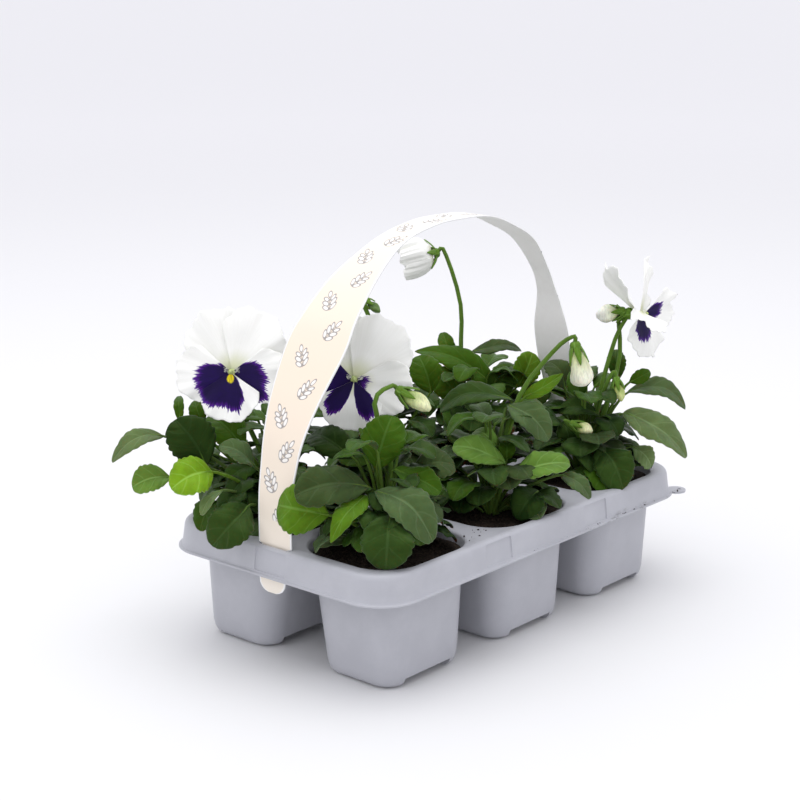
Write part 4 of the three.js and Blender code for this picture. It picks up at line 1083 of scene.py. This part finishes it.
# `blotch` and `yellow` give how far the violet and the yellow reach out along the petal, as shares of
# its length, at even steps from its one side to its other.
def petal_piece(turned, at, angle, opening, twist, radius, half, layer, dice, blotch=(0,), yellow=(0,),
                ruffle=1.1, lap=0.0, frill=1.7, curl=0.0, belly=0.0):
    rest = corners(petal_master)
    u, share, under = rest[:, 0], rest[:, 1], np.clip(-rest[:, 2], 0, 1)
    slope = radians(opening)
    first, second = dice.uniform(0, 6), dice.uniform(0, 6)
    turn = np.radians(half * u)
    lobes = (1 + 0.022 * np.sin(3.3 * pi * u + first) + 0.012 * np.sin(7.9 * pi * u + second)
             + 0.006 * np.sin(19 * pi * u + first))
    reach = radius * (1 - 0.3 * abs(u) ** 2.6) * lobes
    r = 1.4 + (reach - 1.4) * share
    wave = ruffle * share**2 * np.sin(2 * pi * u + angle)
    wave = wave + frill * share**3 * np.sin(3.1 * pi * u + second) * (0.7 + 0.3 * np.cos(3 * u + first))
    wave = wave + 0.28 * frill * share**6 * np.sin(8.3 * pi * u + first)
    wave = wave + 0.55 * frill * np.sin(2.2 * pi * share + first) * share * (1 - 0.6 * u**2)
    lift = layer + wave + curl * share**3 - belly * np.sin(pi * share**0.8)
    out = r * sin(slope) + lap * u * share - lift * cos(slope)
    rise = r * cos(slope) + lift * sin(slope)
    places = np.column_stack([out * np.cos(turn), out * np.sin(turn), rise])
    inwards = np.column_stack([-cos(slope) * np.cos(turn), -cos(slope) * np.sin(turn),
                               np.full(len(u), sin(slope))])
    places = places - inwards * (0.35 * under)[:, None]
    turned = turned @ np.array(Matrix.Rotation(radians(90 - angle), 3, "Z")
                               @ Matrix.Rotation(radians(twist), 3, "X"))
    petal = copy_of(petal_master, seated(places, turned, at))
    reaches = [np.interp(u, np.linspace(-1, 1, len(marks)), marks) for marks in (blotch, yellow)]
    painted(petal, np.column_stack([*reaches, np.full(len(u), dice.random())]), under)
    clad(petal, petal_white)
    return petal


# The green knob in the throat, with a tuft of short white hairs beside it on either side.
def throat_pieces(turned, at, dice, hairs_a_side, raised=0):
    bpy.ops.mesh.primitive_uv_sphere_add(segments=16, ring_count=10, radius=1)
    knob = bpy.context.object
    settle(knob, seated(corners(knob) * (1.0, 1.2, 1.5) + (0, 0.5, 2.2 + raised), turned, at))
    clad(knob, flower_heart)
    bpy.ops.mesh.primitive_cylinder_add(vertices=20, radius=1.9, depth=5 + raised)
    heart = bpy.context.object
    settle(heart, seated(corners(heart) + (0, 0, -1.1 + raised / 2), turned, at))
    clad(heart, flower_heart)
    bpy.ops.mesh.primitive_cone_add(vertices=4, radius1=0.14, radius2=0.03, depth=1)
    hair = bpy.context.object
    clad(hair, beard_white)
    rest = corners(hair) + (0, 0, 0.5)
    hairs = []
    for side in (-1, 1):
        for _ in range(hairs_a_side):
            foot = np.array([side * dice.uniform(2.2, 4.6), dice.uniform(0.2, 2.6),
                             dice.uniform(0.6, 1.2) + raised])
            lean = unit(np.array([-side * dice.uniform(0.1, 0.9), dice.uniform(-0.6, 0.3), 1.0]))
            aside = unit(np.cross(lean, [0.2, 1, 0.1]))
            over = np.cross(lean, aside)
            long = dice.uniform(1.2, 2.2)
            shape = foot + np.outer(rest[:, 0], aside) + np.outer(rest[:, 1], over) + np.outer(
                rest[:, 2] * long, lean)
            hairs.append(copy_of(hair, seated(shape, turned, at)))
    bpy.data.objects.remove(hair)
    return [knob, heart, *hairs]


# How the petals of an open flower lie: angle from upright, opening from its axis and twist, for the
# two upper ones, the left, the right and the lip; then the blotches of the last three and the
# yellow on the lip.
YELLOW = (0, 0.04, 0.12, 0.17, 0.19, 0.17, 0.12, 0.04, 0)
FLAT_FACE = [(-30, 97, 0), (30, 94, 0), (-94, 88, 0), (94, 88, 0), (180, 84, 0)]
SIDE_FACE = [(-14, 118, 30), (34, 84, 0), (-135, 58, 56), (75, 56, 0), (196, 86, 30)]
OPEN_FLOWERS = {
    "bloom_back_left": (FLAT_FACE, 0, [
        (0.38, 0.30, 0.50, 0.62, 0.66, 0.70, 0.80, 0.95), (0.98, 0.92, 0.70, 0.64, 0.62, 0.56, 0.50, 0.36),
        (1.0, 0.98, 0.84, 0.72, 0.76, 0.80, 0.66, 0.26, 0.1)], YELLOW),
    "bloom_front_left": (FLAT_FACE, 0, [
        (0.62, 0.70, 0.76, 0.78, 0.78, 0.74, 0.7, 0.6), (0.34, 0.26, 0.2, 0.2, 0.24, 0.22, 0.18, 0.16),
        (0.62, 0.82, 0.90, 0.86, 0.62, 0.1, 0.1, 0.62, 0.88, 0.92, 0.84, 0.6)], (0,)),
    "bloom_front_right": (SIDE_FACE, 2.6, [
        (0,), (0.36, 0.5, 0.6, 0.56, 0.4), (0.4, 0.66, 0.72, 0.62, 0.56, 0.4, 0.2)], (0,)),
}
# Girth along a bud, as shares of its length and radius, and its colours at the base and the tip.
BUD_GIRTH = [(0, 0.34), (0.22, 0.8), (0.5, 1), (0.78, 0.78), (1, 0.26)]
BUD_GIRTHS = {"bud_front_mid": [(0, 0.34), (0.2, 0.62), (0.5, 0.86), (0.8, 1.0), (0.94, 0.82), (1, 0.5)]}
BUD_TONES = {
    "bud_front_left": ((0.28, 0.40, 0.06), (0.80, 0.83, 0.48)),
    "bud_front_mid": ((0.50, 0.58, 0.22), (0.88, 0.88, 0.70)),
    "bud_front_right_pale": ((0.55, 0.60, 0.30), (0.90, 0.90, 0.80)),
    "bud_front_right_low": ((0.30, 0.42, 0.06), (0.66, 0.72, 0.28)),
    "bud_front_right_inner": ((0.36, 0.46, 0.10), (0.85, 0.85, 0.50)),
    "bud_back_mid": ((0.07, 0.14, 0.02), (0.14, 0.24, 0.05)),
}

bud_skin, tree, shader = surface("bud_skin", 0.5, Subsurface_Weight=0.15, Subsurface_Scale=0.002)
tone = marked(tree, "tone", "Color")
stripes = noise(node(tree, "ShaderNodeMapping", {
    "Vector": here(tree), "Scale": (1.0, 1.0, 0.25)}), 900, 2)
finish(shader, blend(ramp(stripes, 0.35, 0.6), shaded(tree, 0.8, 1.0, tone), tone))
finish(shader, bump(stripes, 0.0004, 0.2), "Normal")

for name, (kind, eye_at, face, tilt, size, *_) in FLOWERS.items():
    turned, at = flower_frame(eye_at, face, tilt, root_of(name))
    dice = random.Random(name)
    if kind == "open":
        spreads, raised, blotches, yellow_eye = OPEN_FLOWERS[name]
        parts = throat_pieces(turned, at, dice, 26, raised)
        for spread, radius, half, layer, blotch, yellow in zip(
                spreads, (37, 37, 31, 31, 27), (46, 46, 43, 43, 58), (-2.6, -1.1, 0.5, 0.5, 2.1),
                ((0,), (0,), *blotches), ((0,), (0,), (0,), (0,), yellow_eye)):
            parts.append(petal_piece(turned, at, *spread, radius * size, half, layer + raised, dice,
                                     blotch, yellow))
    elif kind == "half":
        seat = at + turned @ (0, 0, -2.2)
        parts = [petal_piece(turned, seat, 72 * i, 50, 0, size[0] * long, 50, -2.2, dice, ruffle=0.5,
                             lap=1.5, frill=1.0, curl=10.0, belly=2.5)
                 for i, long in enumerate((0.94, 0.86, 0.92, 0.83, 0.9))]
        parts += throat_pieces(turned, at, dice, 0)
    else:
        length, radius = size
        girth = smooth_run(BUD_GIRTHS.get(name, BUD_GIRTH), 10)
        a = np.arange(0, 2 * pi - 1e-6, pi / 18)
        rings = []
        for t in np.linspace(0, 1, 22):
            folds = 1 + 0.13 * np.cos(3 * a + 4 * t) - 0.07 * abs(np.sin(2.5 * a + 3 * t)) ** 6
            r = radius * np.interp(t, girth[:, 0], girth[:, 1]) * folds
            high = np.full(len(a), HEART_BACK + t * length)
            rings.append(np.column_stack([r * np.cos(a), r * np.sin(a), high]) @ turned.T + at)
        bud = rolled("bud", rings)
        depth = ((corners(bud) / MM - at) @ turned)[:, 2]
        t = np.clip((depth - HEART_BACK) / length, 0, 1)[:, None]
        low, high = np.array(BUD_TONES[name])
        painted(bud, low + (high - low) * np.clip(1.6 * t - 0.15, 0, 1))
        clad(bud, bud_skin)
        parts = [bud]
    bloom = gather("pansy_" + name, parts)
    smooth(bloom)
    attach(bloom, "root")
    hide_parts(name)

for master in (lump, leaf_master, small_leaf_master, sepal_master, stalk_master, petal_master):
    bpy.data.objects.remove(master)
